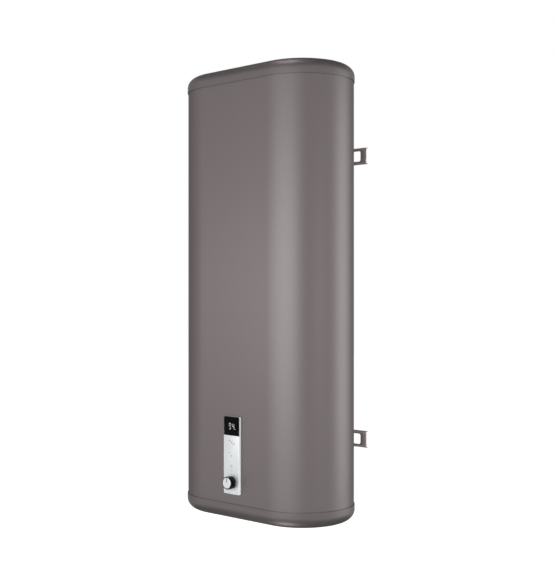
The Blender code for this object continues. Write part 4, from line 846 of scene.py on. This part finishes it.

# %% [markdown]
# ## Control panel
#
# A silver frame holds a brushed plate and a black display window. It is plated with satin
# chrome, so its sides catch the light instead of mirroring the paint, and its face is black
# beside the window. Black is painted over the front of its top edge too: painted shade that
# keeps the lit top dark. It is a rounded block, joined to the collar that goes through the
# sheet, with a pocket for the plate and an opening for what lies behind.

# %% Chrome frame
def chrome(name, colour, roughness):
    """Satin chrome with a little haze and wiping marks."""
    finish = Finish(name, colour, roughness, 0.15)
    haze = finish.noise(30, detail=5, roughness=0.65)
    grain = finish.noise(1500, detail=1)
    finish.set("Roughness", roughness + (haze - 0.45).clamp() * 0.20)
    finish.vary(haze, colour, 0.95, 1.04)
    finish.bump(grain, 0.2, 0.00001)
    return finish


def face_plate(low, high, corner=0.002, edge=0.00015):
    """A thin plate with rounded corners and a softened front edge."""
    piece = slab(low, high)
    edit(piece, 'EDGE')
    pick(piece, 'EDGE', lambda side: abs(side.verts[0].co.y - side.verts[1].co.y) > 1e-5)
    bpy.ops.mesh.bevel(offset=corner, segments=6)
    if edge:
        round_edges(piece, edge, 3, lambda place: abs(place.y - low.y) < 1e-6)
    clear()
    return piece


def shrunk(inward, front, back):
    """The frame's outline pulled in all round, between two depths."""
    return (Vector((frame_low.x + inward, front, frame_low.z + inward)),
            Vector((frame_high.x - inward, back, frame_high.z - inward)))


FRAME_CORNER = 0.003
FRAME_RIM = 0.0008
FRAME_LEDGE = 0.0020
FRAME_COLLAR = 0.0033
FRAME_COLLAR_WALL = 0.0015
seat_y = FRONT_Y - 0.0003
chrome_frame = face_plate(*shrunk(0, frame_low.y, seat_y), corner=FRAME_CORNER, edge=0.0004)
for inward, front, back, corner, operation in (
    (FRAME_COLLAR, seat_y - 0.001, frame_high.y, 0.001, 'UNION'),
    (FRAME_RIM, frame_low.y - 0.001, frame_low.y + FRAME_LEDGE,
     FRAME_CORNER - FRAME_RIM, 'DIFFERENCE'),
    (FRAME_COLLAR + FRAME_COLLAR_WALL, frame_low.y, frame_high.y + 0.001, 0.001, 'DIFFERENCE'),
):
    carve(chrome_frame, face_plate(*shrunk(inward, front, back), corner=corner, edge=0), operation)
window_low, window_high = corners("display_window")
frame_chrome = chrome("panel_frame_chrome", (0.95, 0.96, 0.97), 0.30)
_, depth, up = frame_chrome.axes()
face_blackout = (up > window_low.z) * (depth < frame_low.y + 0.0005)
# The front of the top edge is painted black as well: painted shade on the lit top.
top_edge_painted_shade = (up > frame_high.z - FRAME_RIM) * (depth < frame_low.y + 0.0035)
print_and_painted_shade = (face_blackout + top_edge_painted_shade).clamp()
frame_chrome.mark(print_and_painted_shade, (0.01, 0.01, 0.011))
dress(chrome_frame, "chrome_frame", frame_chrome, "panel_bezel")

# %% Brushed plate
STROKES = 3200


def brushed(name, colour, roughness, metallic):
    """Brushed metal: noise drawn out along the strokes, which run up and down."""
    finish = Finish(name, colour, roughness, metallic)
    along = finish.stretch(1, 1, 0.01)
    lines = finish.noise(STROKES, along, 2)
    wide = finish.noise(STROKES / 6, along)
    haze = finish.noise(22, detail=3)
    strokes = lines * 0.6 + wide * 0.4
    finish.vary(strokes, colour, 0.86, 1.10)
    finish.set("Roughness", roughness + (strokes - 0.5) * 0.30 + (haze - 0.5) * 0.08)
    finish.bump(strokes, 0.35, 0.00003)
    return finish


plate_low, plate_high = corners("panel_plate")
knob_low, knob_high = corners("knob_body")
KNOB_AXIS = Vector(((knob_low.x + knob_high.x) / 2, 0, (knob_low.z + knob_high.z) / 2))


def face_front(piece, back):
    """Tip an upright piece forward about the knob's axis, so that its top faces the front."""
    return lay(piece, (KNOB_AXIS.x, back, KNOB_AXIS.z), (pi / 2, 0, 0))


def off_axis(finish):
    """The distance from the knob's axis, in a finish."""
    across, _, up = finish.axes(finish.stretch(shift=tuple(-KNOB_AXIS)))
    return across.sum_up("SQRT", across * across + up * up)


RING_RADIUS = 0.0203
RING_WIDTH = 0.0007
RING_DEPTH = 0.0005
SPINDLE_HOLE = 0.0033
thickness = plate_high.y - plate_low.y
plate = face_plate(plate_low, plate_high)
groove = hoop(RING_RADIUS - RING_WIDTH, RING_RADIUS, thickness - RING_DEPTH, thickness + 0.001, 96)
carve(plate, face_front(groove, plate_high.y))
drill = lathe([(SPINDLE_HOLE, -0.001), (SPINDLE_HOLE, thickness + 0.001)], 48)
carve(plate, face_front(drill, plate_high.y))
plate_metal = brushed("panel_plate_silver", (0.555, 0.56, 0.565), 0.34, 0.5)
from_axis = off_axis(plate_metal)
# The ring groove is painted darker, 45% of the way to dark grey: painted shade in the recess.
groove_painted_shade = (from_axis > RING_RADIUS - RING_WIDTH - 0.0001) * (from_axis < RING_RADIUS + 0.0001)
plate_metal.mark(groove_painted_shade * 0.45, (0.12, 0.12, 0.12))
dress(plate, "brushed_plate", plate_metal, "panel_plate")

# %% [markdown]
# ## Display
#
# The window is black acrylic, smooth as glass, over a two-digit display. Each digit has
# seven bars with pointed ends, and which of them are lit makes the figure, here 94. One
# bar is modelled, copied, turned and set in its place.

# %% Black window
acrylic = Finish("display_acrylic", (0.002, 0.002, 0.002), 0.07)
acrylic.set("Specular IOR Level", 0.03)
smears = acrylic.noise(38, detail=5, roughness=0.7)
acrylic.set("Roughness", 0.07 + (smears - 0.4).clamp() * 0.12)
acrylic.set("Base Color", acrylic.blend(smears, (0.001, 0.001, 0.0012), (0.003, 0.003, 0.0032)))
dress(face_plate(window_low, window_high), "display_glass", acrylic, "display_window")

# %% Bars of light
BAR_LENGTH = 0.0055
BAR_WIDTH = 0.00055
BAR_THICKNESS = 0.00012
BAR_GAP = 0.0004
DIGIT_SLANT = 0.06
DIGIT_HEIGHT = 0.0148
DIGIT_MIDDLE_Z = window_low.z + 0.0238
glow = Finish("display_light", (0.80, 0.84, 0.86), 0.4)
speck = glow.noise(900, detail=1)
glow.set("Emission Color", glow.blend(speck, (0.72, 0.78, 0.82), (0.92, 0.97, 1.0)))
glow.set("Emission Strength", 0.7)


def bar():
    """A bar with pointed ends, lying along X at the origin, its front face on y = 0."""
    piece = slab((-BAR_LENGTH / 2 + BAR_WIDTH / 2, 0, -BAR_WIDTH / 2),
                 (BAR_LENGTH / 2 - BAR_WIDTH / 2, BAR_THICKNESS, BAR_WIDTH / 2))
    edit(piece)
    for end in (-1, 1):
        pick(piece, 'FACE', lambda face: face.normal.x * end > 0.9)
        extrude(x=end * BAR_WIDTH / 2)
        bpy.ops.transform.resize(value=(1, 1, 0.08))
    clear()
    return piece


# Each bar's side (0 for a level bar in the middle) and height, in quarters of a digit.
BAR_PLACES = {"a": (0, 2), "b": (1, 1), "c": (1, -1), "d": (0, -2), "f": (-1, 1), "g": (0, 0)}
QUARTER = DIGIT_HEIGHT / 4
bar_y = window_low.y - BAR_THICKNESS / 2
pattern = bar()
bars = []
for middle, letters in ((-0.0060, "abcdfg"), (0.0056, "bcfg")):
    for letter in letters:
        side, level = BAR_PLACES[letter]
        x = middle + side * (BAR_LENGTH / 2 + BAR_GAP) + level * QUARTER * DIGIT_SLANT
        place = (x, bar_y, DIGIT_MIDDLE_Z + level * QUARTER)
        bars.append(lay(double(pattern), place, (0, pi / 2, 0) if side else None))
dot = lathe([(0.0008, 0), (0.0008, BAR_THICKNESS)], 24)
bars.append(lay(dot, (0.0126, bar_y, DIGIT_MIDDLE_Z - DIGIT_HEIGHT / 2), (-pi / 2, 0, 0)))
dress(join(*bars), "display_figures", glow)
discard(pattern)

# %% [markdown]
# Small grey marks are printed on the plate below the display: three times three bars for
# the heating stages, two dots, a ring and a dash for the switch. Each is a thin raised
# print, a twentieth of a millimetre of ink.

# %% Print the marks
INK = 0.00005
marks = []


def ink_dash(x, z, wide, tall):
    low = (x - wide / 2, plate_low.y - INK, z - tall / 2)
    marks.append(slab(low, (x + wide / 2, plate_low.y + INK, z + tall / 2)))


def ink_ring(x, z, outer, inner=0.0):
    if inner:
        mark = hoop(inner, outer, 0, 2 * INK, 32)
    else:
        mark = lathe([(outer, 0), (outer, 2 * INK)], 24)
    marks.append(lay(mark, (x, plate_low.y + INK, z), (pi / 2, 0, 0)))


mark_top = plate_high.z - 0.0140
for place, shift in enumerate((-0.0075, 0.0, 0.0075)):
    for bar_number in range(3):
        x = shift + 0.0021 * (bar_number - 1)
        z = mark_top - place * 0.0040 + 0.0005 * bar_number
        ink_dash(x, z, 0.0013, 0.0018 + 0.0010 * bar_number)
ink_ring(-0.0092, plate_high.z - 0.0450, 0.0011)
ink_ring(0.0004, plate_high.z - 0.0526, 0.0017)
ink_ring(-0.0010, plate_high.z - 0.0795, 0.0036, 0.0028)
ink_dash(-0.0010, plate_high.z - 0.0900, 0.0052, 0.0009)
ink = plastic("plate_ink", (0.10, 0.104, 0.105), 0.55, 1200, 0.00001)
dress(join(*marks), "plate_marks", ink)

# %% [markdown]
# ## Temperature knob
#
# The knob turns on its spindle. It is a glossy black moulding with a groove round its foot
# and a turned aluminium cap. Both are built upright and then tipped to face the front. The
# cap's fine rings run round its centre: its finish reads the distance from the axis.

# %% Knob body
KNOB_RADIUS = 0.017
KNOB_LENGTH = knob_high.y - knob_low.y
knob = lathe([(KNOB_RADIUS - inward, height) for inward, height in (
    (0.0010, 0), (0.0007, 0.0003), (0.0007, 0.0016), (0.0011, 0.0020), (0.0011, 0.0024),
    (0.0006, 0.0028), (0.0003, KNOB_LENGTH - 0.0009), (0.0006, KNOB_LENGTH - 0.0003),
    (0.0011, KNOB_LENGTH), (0.0028, KNOB_LENGTH), (0.0028, KNOB_LENGTH - 0.0009),
)], 96)
knob_black = plastic("knob_black", (0.003, 0.003, 0.003), 0.09, 900, 0.000004)
knob_black.set("Specular IOR Level", 0.18)
face_front(knob, knob_high.y)
dress(knob, "knob_moulding", knob_black, "knob_body", body="temperature_knob")

# %% Knob cap with its pointer
cap_low, cap_high = corners("knob_cap")
CAP_RADIUS = 0.0139
CAP_DEPTH = cap_high.y - cap_low.y
cap = lathe([
    (CAP_RADIUS, 0), (CAP_RADIUS, CAP_DEPTH - 0.0005), (CAP_RADIUS - 0.0002, CAP_DEPTH - 0.0002),
    (CAP_RADIUS - 0.0006, CAP_DEPTH), (CAP_RADIUS - 0.0016, CAP_DEPTH),
    (CAP_RADIUS - 0.0019, CAP_DEPTH - 0.0003), (0.0004, CAP_DEPTH - 0.0003),
], 96)
face_front(cap, cap_high.y)
POINTER_HALF = 0.0011
pointer_start = KNOB_AXIS.z + 0.002
pointer_end = KNOB_AXIS.z + CAP_RADIUS - 0.0012
carve(cap, slab((KNOB_AXIS.x - POINTER_HALF, cap_low.y - 0.001, pointer_start),
                (KNOB_AXIS.x + POINTER_HALF, cap_low.y + 0.0008, pointer_end)))
GAP = 0.00002
pointer = slab((KNOB_AXIS.x - POINTER_HALF + GAP, cap_low.y + 0.0004, pointer_start + GAP),
               (KNOB_AXIS.x + POINTER_HALF - GAP, cap_low.y + 0.0007, pointer_end - GAP))
round_edges(pointer, 0.0001, 2, lambda place: place.y < cap_low.y + 0.0005)
pointer_paint = plastic("pointer_paint", (0.010, 0.010, 0.011), 0.5, 1200, 0.00002)
dress(pointer, "knob_pointer", pointer_paint, body="temperature_knob")
turned = Finish("knob_cap_aluminium", (0.62, 0.62, 0.63), 0.30, 1.0)
rings = turned.node("TexNoise", {"noise_dimensions": '1D'},
                    {"W": off_axis(turned), "Scale": 9000.0, "Detail": 2.0})
turned.set("Base Color", turned.blend(rings, (0.54, 0.54, 0.55), (0.72, 0.72, 0.73)))
turned.set("Roughness", 0.26 + rings * 0.14).bump(rings, 0.3, 0.00002)
dress(cap, "turned_cap", turned, "knob_cap", body="temperature_knob")

# %% [markdown]
# ## Hook brackets
#
# Two pressed strips carry the heater on the wall. Their windows hang on hooks, feet reach
# forward to the body, and lips along both edges stand on the wall. They wear the body's
# tone, painted lighter: painted light that keeps them as bright as the body although they
# stand in its shade.

# %% Paint the brackets
# The body's paint made 1.4 times as light: painted light for the light that the body's shade takes
# from them.
bracket_paint_with_painted_light = metallic_paint("bracket_paint_with_painted_light", tint(TAUPE, 1.4), 0.50, 0.04)
for side in ("upper", "lower"):
    dress(soften(f"{side}_bracket", 0.0006), f"{side}_hook_bracket", bracket_paint_with_painted_light,
          f"{side}_bracket")

# %% [markdown]
# ## Bracket bolts
#
# Zinc-plated bolts hold each bracket's feet to weld nuts on a plate inside.

# %% Plate the bolts
bolt_zinc = zinc("bracket_bolt_zinc", (0.64, 0.62, 0.55), 0.34)
for side in ("upper", "lower"):
    for number in (1, 2):
        dress(soften(f"{side}_bolt_{number}", 0.0003), f"{side}_bracket_bolt_{number}", bolt_zinc,
              f"{side}_bolt_{number}")

# %% [markdown]
# ## Water connections
#
# Cold water enters by one nipple and hot water leaves by the other. Their ends carry a
# pipe thread with 14 ridges to the inch: a zigzag profile goes round the CAD nipple's
# turned-down end as a ring. A true thread climbs, but so small, rings look the same.

# %% Cut the pipe threads
THREAD_PITCH = 0.001814
THREAD_CREST = 0.0105
THREAD_ROOT = 0.0100
THREAD_SKIN = 0.0099
RIDGES = 9
hot_low, hot_high = corners("hot_outlet_pipe")
thread_start = cold_low.z + 0.0003
profile = [(THREAD_SKIN, thread_start)]
for turn in range(RIDGES):
    base = thread_start + turn * THREAD_PITCH
    profile += [
        (THREAD_ROOT, base + 0.00005), (THREAD_CREST, base + THREAD_PITCH * 0.45),
        (THREAD_CREST, base + THREAD_PITCH * 0.55), (THREAD_ROOT, base + THREAD_PITCH * 0.95),
    ]
profile += [(THREAD_SKIN, thread_start + RIDGES * THREAD_PITCH), (THREAD_SKIN, thread_start)]
sleeve = lathe(profile, 64, ring=True)
thread_steel = zinc("nipple_thread_steel", (0.66, 0.65, 0.62), 0.28)
for pipe, name, x in (("hot_outlet_pipe", "hot_nipple_thread", (hot_low.x + hot_high.x) / 2),
                      ("cold_inlet_pipe", "cold_nipple_thread", NIPPLE_X)):
    dress(double(sleeve, x, AXIS_Y), name, thread_steel, angle=25)
discard(sleeve)
print("thread from", round(thread_start, 4), "over", round(RIDGES * THREAD_PITCH, 4))

# %% [markdown]
# A coloured collar marks each nipple, blue for cold and red for hot, and closes its hole.
# Both come from one mould: a flange with a rounded rim and eight shallow notches for the
# fingers, and a barrel that goes into the cover.

# %% Mould the collars
collar_low, collar_high = corners("cold_collar")
COLLAR_RADIUS = (collar_high.x - collar_low.x) / 2
COLLAR_BORE = 0.01085
COLLAR_BARREL = 0.0126
COLLAR_FLANGE = 0.0020
COLLAR_LENGTH = collar_high.z - collar_low.z
collar = lathe([(radius, collar_low.z + height) for radius, height in (
    (COLLAR_BORE, 0.0004), (COLLAR_BORE + 0.0004, 0), (COLLAR_RADIUS - 0.0016, 0),
    (COLLAR_RADIUS - 0.0006, 0.0003), (COLLAR_RADIUS - 0.0001, 0.0009), (COLLAR_RADIUS, 0.0014),
    (COLLAR_RADIUS, COLLAR_FLANGE), (COLLAR_BARREL, COLLAR_FLANGE), (COLLAR_BARREL, COLLAR_LENGTH),
    (COLLAR_BORE, COLLAR_LENGTH), (COLLAR_BORE, 0.0004),
)], 80, ring=True)
NOTCHES = 8
NOTCH_PATH = COLLAR_RADIUS + 0.0016
NOTCH_RADIUS = 0.0024
for notch in range(NOTCHES):
    turn = 2 * pi * notch / NOTCHES
    gouge = lathe([(NOTCH_RADIUS, collar_low.z - 0.001),
                   (NOTCH_RADIUS, collar_low.z + COLLAR_FLANGE + 0.001)], 24)
    carve(collar, lay(gouge, (NOTCH_PATH * cos(turn), NOTCH_PATH * sin(turn), 0)))
for node, x, colour_name, colour in (
    ("hot_collar", -NIPPLE_X, "red", (0.52, 0.030, 0.022)),
    ("cold_collar", NIPPLE_X, "blue", (0.020, 0.105, 0.42)),
):
    nylon = plastic(f"{node}_{colour_name}", colour, 0.32, 1400, 0.00002)
    dress(double(collar, x, AXIS_Y), node + "_moulding", nylon, node)
discard(collar)

# %% [markdown]
# ## Cable gland
#
# The supply cable enters through a nylon gland. Its dome nut has grip ribs all round: one
# narrow block, repeated. The hexagon and the thread inside stay as the CAD has them, with
# soft edges. The dome is pressed a little flatter, because the photograph's outline shows
# nothing below the bottom lid.

# %% Ribs on the gland's dome
gland_nylon = plastic("cable_gland_nylon", (0.030, 0.030, 0.031), 0.46)
gland = soften("cable_gland", 0.0003)
DOME_RADIUS = 0.0095
DOME_LOW = gland_low.z + 0.0030
DOME_HIGH = DOME_LOW + 0.0062
DOME_ROOT = gland_low.z + 0.009
FLATTEN = 0.66
RIBS = 12
rib = slab((DOME_RADIUS - 0.0012, -0.0006, DOME_LOW), (DOME_RADIUS + 0.0007, 0.0006, DOME_HIGH))
round_edges(rib, 0.0004, 2, lambda place: place.x > DOME_RADIUS)
ribs = [lay(double(rib), (0, GLAND_Y, 0), (0, 0, 2 * pi * turn / RIBS)) for turn in range(RIBS)]
discard(rib)
join(gland, *ribs)
edit(gland, 'VERT')
pick(gland, 'VERT', lambda vert: vert.co.z < DOME_ROOT - 0.0006)
bpy.ops.transform.resize(value=(1, 1, FLATTEN), center_override=(0, GLAND_Y, DOME_ROOT))
clear()
print("gland ends at", round(min(vert.co.z for vert in gland.data.vertices), 4))
dress(gland, "cable_gland_moulding", gland_nylon, "cable_gland")

# %% [markdown]
# ## Inside the heater: stainless tanks
#
# The other CAD pieces have the right shape already and only get a real finish. Both tanks
# are brushed stainless steel, rolled round, so the fine lines are a noise drawn out level.
# Where the domes are welded on, the heat has left a straw-to-blue band beside the bead.

# %% Coat a CAD piece
def coat(finish, *names):
    """Give CAD pieces a finish in place of their plain one."""
    for name in names:
        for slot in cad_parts[name].material_slots:
            slot.material = finish.material
    print(finish.material.name, "on", ", ".join(names))


def both(name):
    return f"left_{name}", f"right_{name}"


# %% Weld seams on the tanks
def weld_levels(name):
    """Heights of a tank's two round welds: where its wall is at its widest."""
    points = [vertex.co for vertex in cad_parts[name].data.vertices]
    low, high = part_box(name)
    middle = (low[0] + high[0]) / 2
    widest = (high[0] - low[0]) / 2
    wall = [point.z for point in points if abs(point.x - middle) > widest * 0.999]
    return min(wall), max(wall)


WELD_HEAT = 0.016
WELD_BEAD = 0.003


tank_steel = Finish("tank_stainless", (0.58, 0.575, 0.56), 0.32, 1.0)
lines = tank_steel.noise(1800, tank_steel.stretch(0.02, 0.02, 1), 2)
stain = tank_steel.noise(9, detail=5, roughness=0.6)
_, _, height = tank_steel.axes()
low_weld, high_weld = weld_levels("left_tank")
from_low = (height - low_weld).size()
from_weld = from_low.sum_up("MINIMUM", from_low, (height - high_weld).size())
steel_shade = tank_steel.blend(lines, (0.50, 0.495, 0.485), (0.66, 0.655, 0.64))
heat = tank_steel.ramp(
    from_weld / WELD_HEAT, (0.0, (0.40, 0.38, 0.36)), (0.16, (0.52, 0.50, 0.47)),
    (0.32, (0.20, 0.22, 0.33)), (0.55, (0.46, 0.33, 0.17)), (0.9, (0.58, 0.56, 0.52)))
near_weld = (1 - from_weld / WELD_HEAT).clamp()
tank_steel.set("Base Color", tank_steel.blend(near_weld, steel_shade, heat))
tank_steel.set("Roughness", 0.28 + lines * 0.12 + (stain - 0.5) * 0.14)
bead = (1 - from_weld / WELD_BEAD).clamp()
scales = tank_steel.node("TexWave", {"wave_type": 'RINGS', "rings_direction": 'Z'},
                         {"Vector": tank_steel.place, "Scale": 60.0, "Distortion": 1.5})
tank_steel.bump(lines * 0.08 + bead * (0.7 + scales * 0.3), 0.6, 0.0006)
coat(tank_steel, *both("tank"))
print("welds at", round(low_weld, 4), round(high_weld, 4))

# %% [markdown]
# ## Pipes and small steel
#
# The inner pipes are drawn stainless tube, with faint lines along their length. Zinc is
# bluish on nuts and flanges, and shows the large grey flowers of hot-dip galvanizing on
# the sheet-metal plates.

# %% Drawn steel pipes and thermowells
def drawn_tube(name, colour, roughness=0.30):
    """Drawn tube: fine lines along its length and a few dull stains."""
    finish = Finish(name, colour, roughness, 1.0)
    lines = finish.noise(2400, finish.stretch(1, 1, 0.02), 2)
    stain = finish.noise(16, detail=5, roughness=0.6)
    finish.vary(lines * 0.5 + stain * 0.5, colour, 0.80, 1.15)
    finish.set("Roughness", roughness + (lines - 0.5) * 0.14 + (stain - 0.5) * 0.14)
    finish.bump(lines, 0.3, 0.00004)
    return finish


coat(drawn_tube("cold_inlet_steel", (0.60, 0.60, 0.59)), "cold_inlet_pipe")
coat(drawn_tube("hot_outlet_steel", (0.61, 0.60, 0.58)), "hot_outlet_pipe")
coat(drawn_tube("transfer_pipe_steel", (0.60, 0.59, 0.57), 0.33), "transfer_pipe")
coat(drawn_tube("thermowell_steel", (0.57, 0.57, 0.56), 0.28), *both("thermowell"))
coat(drawn_tube("knob_spindle_steel", (0.60, 0.60, 0.60), 0.25), "knob_spindle")


# %% Zinc on flanges, nuts and plates
def galvanized(name, colour=(0.50, 0.51, 0.52)):
    """Hot-dip zinc: spangles a few millimetres across, each with its own shade."""
    finish = Finish(name, colour, 0.42, 1.0)
    flower = finish.cells(150, out="Color")
    shade, other, _ = finish.axes(flower)
    haze = finish.noise(40, detail=4)
    finish.vary(shade, colour, 0.72, 1.25)
    finish.set("Roughness", 0.30 + other * 0.22 + (haze - 0.5) * 0.10)
    finish.bump(haze + shade * 0.2, 0.3, 0.00008)
    return finish


coat(zinc("flange_zinc", (0.60, 0.62, 0.64), 0.36), *both("flange"))
coat(zinc("flange_nut_zinc", (0.62, 0.64, 0.66), 0.30),
     *(name for number in range(1, 5) for name in both(f"nut_{number}")))
coat(galvanized("hanger_plate_zinc"), "upper_hanger_plate", "lower_hanger_plate")
coat(galvanized("component_plate_zinc", (0.54, 0.55, 0.56)), "component_plate")
coat(zinc("potentiometer_zinc", (0.58, 0.57, 0.54), 0.38), "potentiometer")

# %% [markdown]
# ## Heating cartridges
#
# The element's sheath is nickel alloy that has darkened unevenly. The anode is cast
# magnesium, dull and pitted. The gasket is black rubber with a dusty bloom.

# %% Element, anode and gasket
sheath = Finish("element_sheath", (0.42, 0.39, 0.34), 0.34, 1.0)
scorch = sheath.noise(28, detail=5, roughness=0.65)
fine = sheath.noise(900, detail=2)
sheath.set("Base Color", sheath.ramp(
    scorch, (0.30, (0.22, 0.20, 0.20)), (0.50, (0.44, 0.40, 0.34)), (0.68, (0.56, 0.53, 0.47))))
sheath.set("Roughness", 0.28 + scorch * 0.20 + (fine - 0.5) * 0.1).bump(fine, 0.25, 0.00005)
coat(sheath, *both("element"))

casting = Finish("anode_magnesium", (0.42, 0.42, 0.41), 0.62, 0.85)
blotch = casting.noise(60, detail=5, roughness=0.6)
pits = casting.cells(620)
casting.set("Base Color", casting.blend(blotch, (0.28, 0.28, 0.275), (0.55, 0.55, 0.54)))
casting.set("Roughness", 0.50 + blotch * 0.25).bump((pits * 1.6).clamp() + blotch, 0.6, 0.0003)
coat(casting, *both("anode"))


def rubber(name, colour):
    """Moulded rubber: fine grain under a pale, uneven bloom."""
    finish = Finish(name, colour, 0.62)
    bloom = finish.noise(35, detail=5, roughness=0.6)
    skin = finish.noise(1500, detail=2)
    finish.vary(bloom, colour, 1, 2.2)
    finish.set("Roughness", 0.52 + bloom * 0.20).bump(skin, 0.4, 0.00005)
    return finish


coat(rubber("gasket_rubber", (0.020, 0.020, 0.021)), *both("gasket"))
coat(rubber("panel_lead_jacket", (0.024, 0.024, 0.026)), "panel_lead")

# %% [markdown]
# ## Insulation
#
# Polyurethane foam is blown between casing and tanks and sets round them. It is cream,
# a little darker and browner in patches, with closed cells under a millimetre wide and a
# few larger bubbles at the skin, their hollows painted dark brown as painted shade.

# %% Foam cells
foam = Finish("insulation_foam_cells", (0.80, 0.70, 0.46), 0.85)
pores = (foam.cells(900) * 1.5).clamp()
bubbles_and_painted_shade = (foam.cells(90) * 3).clamp()
patches = foam.noise(7, detail=5, roughness=0.6)
cream = foam.blend(patches, (0.70, 0.58, 0.34), (0.86, 0.79, 0.58))
# Inside the bubbles the cream turns dark brown: painted shade in the hollows.
foam.set("Base Color", foam.blend(bubbles_and_painted_shade, (0.60, 0.48, 0.27), cream))
foam.set("Roughness", 0.78 + patches * 0.15).bump(pores * 0.4 + bubbles_and_painted_shade, 0.7, 0.0008)
coat(foam, "insulation_foam")

# %% [markdown]
# ## Boards and plastics
#
# Circuit boards are green lacquer over copper: tracks show through as paler green lines,
# drawn by a brick texture, and bright solder dots stand at the joints. Sockets and relays
# stand on one face of each board, so whatever is past that face has its own colour. The
# rest is moulded plastic in plain colours.

# %% Circuit boards
BOARD_SHEET = 0.0016


def circuit_board(node, axis, colour, flat=(0, 0, 0)):
    """Green lacquer with tracks and solder dots. What stands before its face has a colour."""
    finish = Finish(node + "_lacquer", (0.02, 0.14, 0.06), 0.38)
    inputs = {"Vector": finish.stretch(turn=flat), "Scale": 60.0, "Mortar Size": 0.035,
              "Mortar Smooth": 0.1, "Bias": 0.0}
    tracks = finish.node("TexBrick", inputs=inputs, out="Fac")
    solder = finish.cells(210, 0.55) < 0.16
    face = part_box(node)[1][axis] - BOARD_SHEET
    standing = finish.axes()[axis] < face - 0.0002
    finish.set("Base Color", finish.blend(tracks, (0.010, 0.085, 0.035), (0.045, 0.23, 0.10)))
    finish.mark(solder, (0.62, 0.62, 0.60)).mark(standing, colour)
    bare = 1 - standing
    finish.set("Metallic", solder * bare * 0.9)
    finish.set("Roughness", 0.36 - solder * 0.10 + standing * 0.12)
    finish.bump((tracks * 0.4 + solder) * bare, 0.5, 0.0002)
    coat(finish, node)


circuit_board("control_board", 1, (0.72, 0.71, 0.66), (pi / 2, 0, 0))
circuit_board("power_board", 2, (0.030, 0.050, 0.090))

# %% Moulded plastics inside
for name, colour, roughness in (
    ("panel_box", (0.40, 0.40, 0.39), 0.58),
    ("display_module", (0.72, 0.72, 0.70), 0.48),
    ("thermal_cutout", (0.045, 0.045, 0.050), 0.46),
    ("reset_button", (0.54, 0.030, 0.022), 0.34),
    ("terminal_block", (0.70, 0.68, 0.60), 0.50),
):
    coat(plastic(name + "_plastic", colour, roughness), name)

# %% [markdown]
# ## Compare the sizes and finish

# %% Print how far the size changed
low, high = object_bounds()
changes = [1000 * (b - a) for pair in zip(cad_box, (low, high)) for a, b in zip(*pair)]
print("size change in mm:", [round(change, 2) for change in changes])
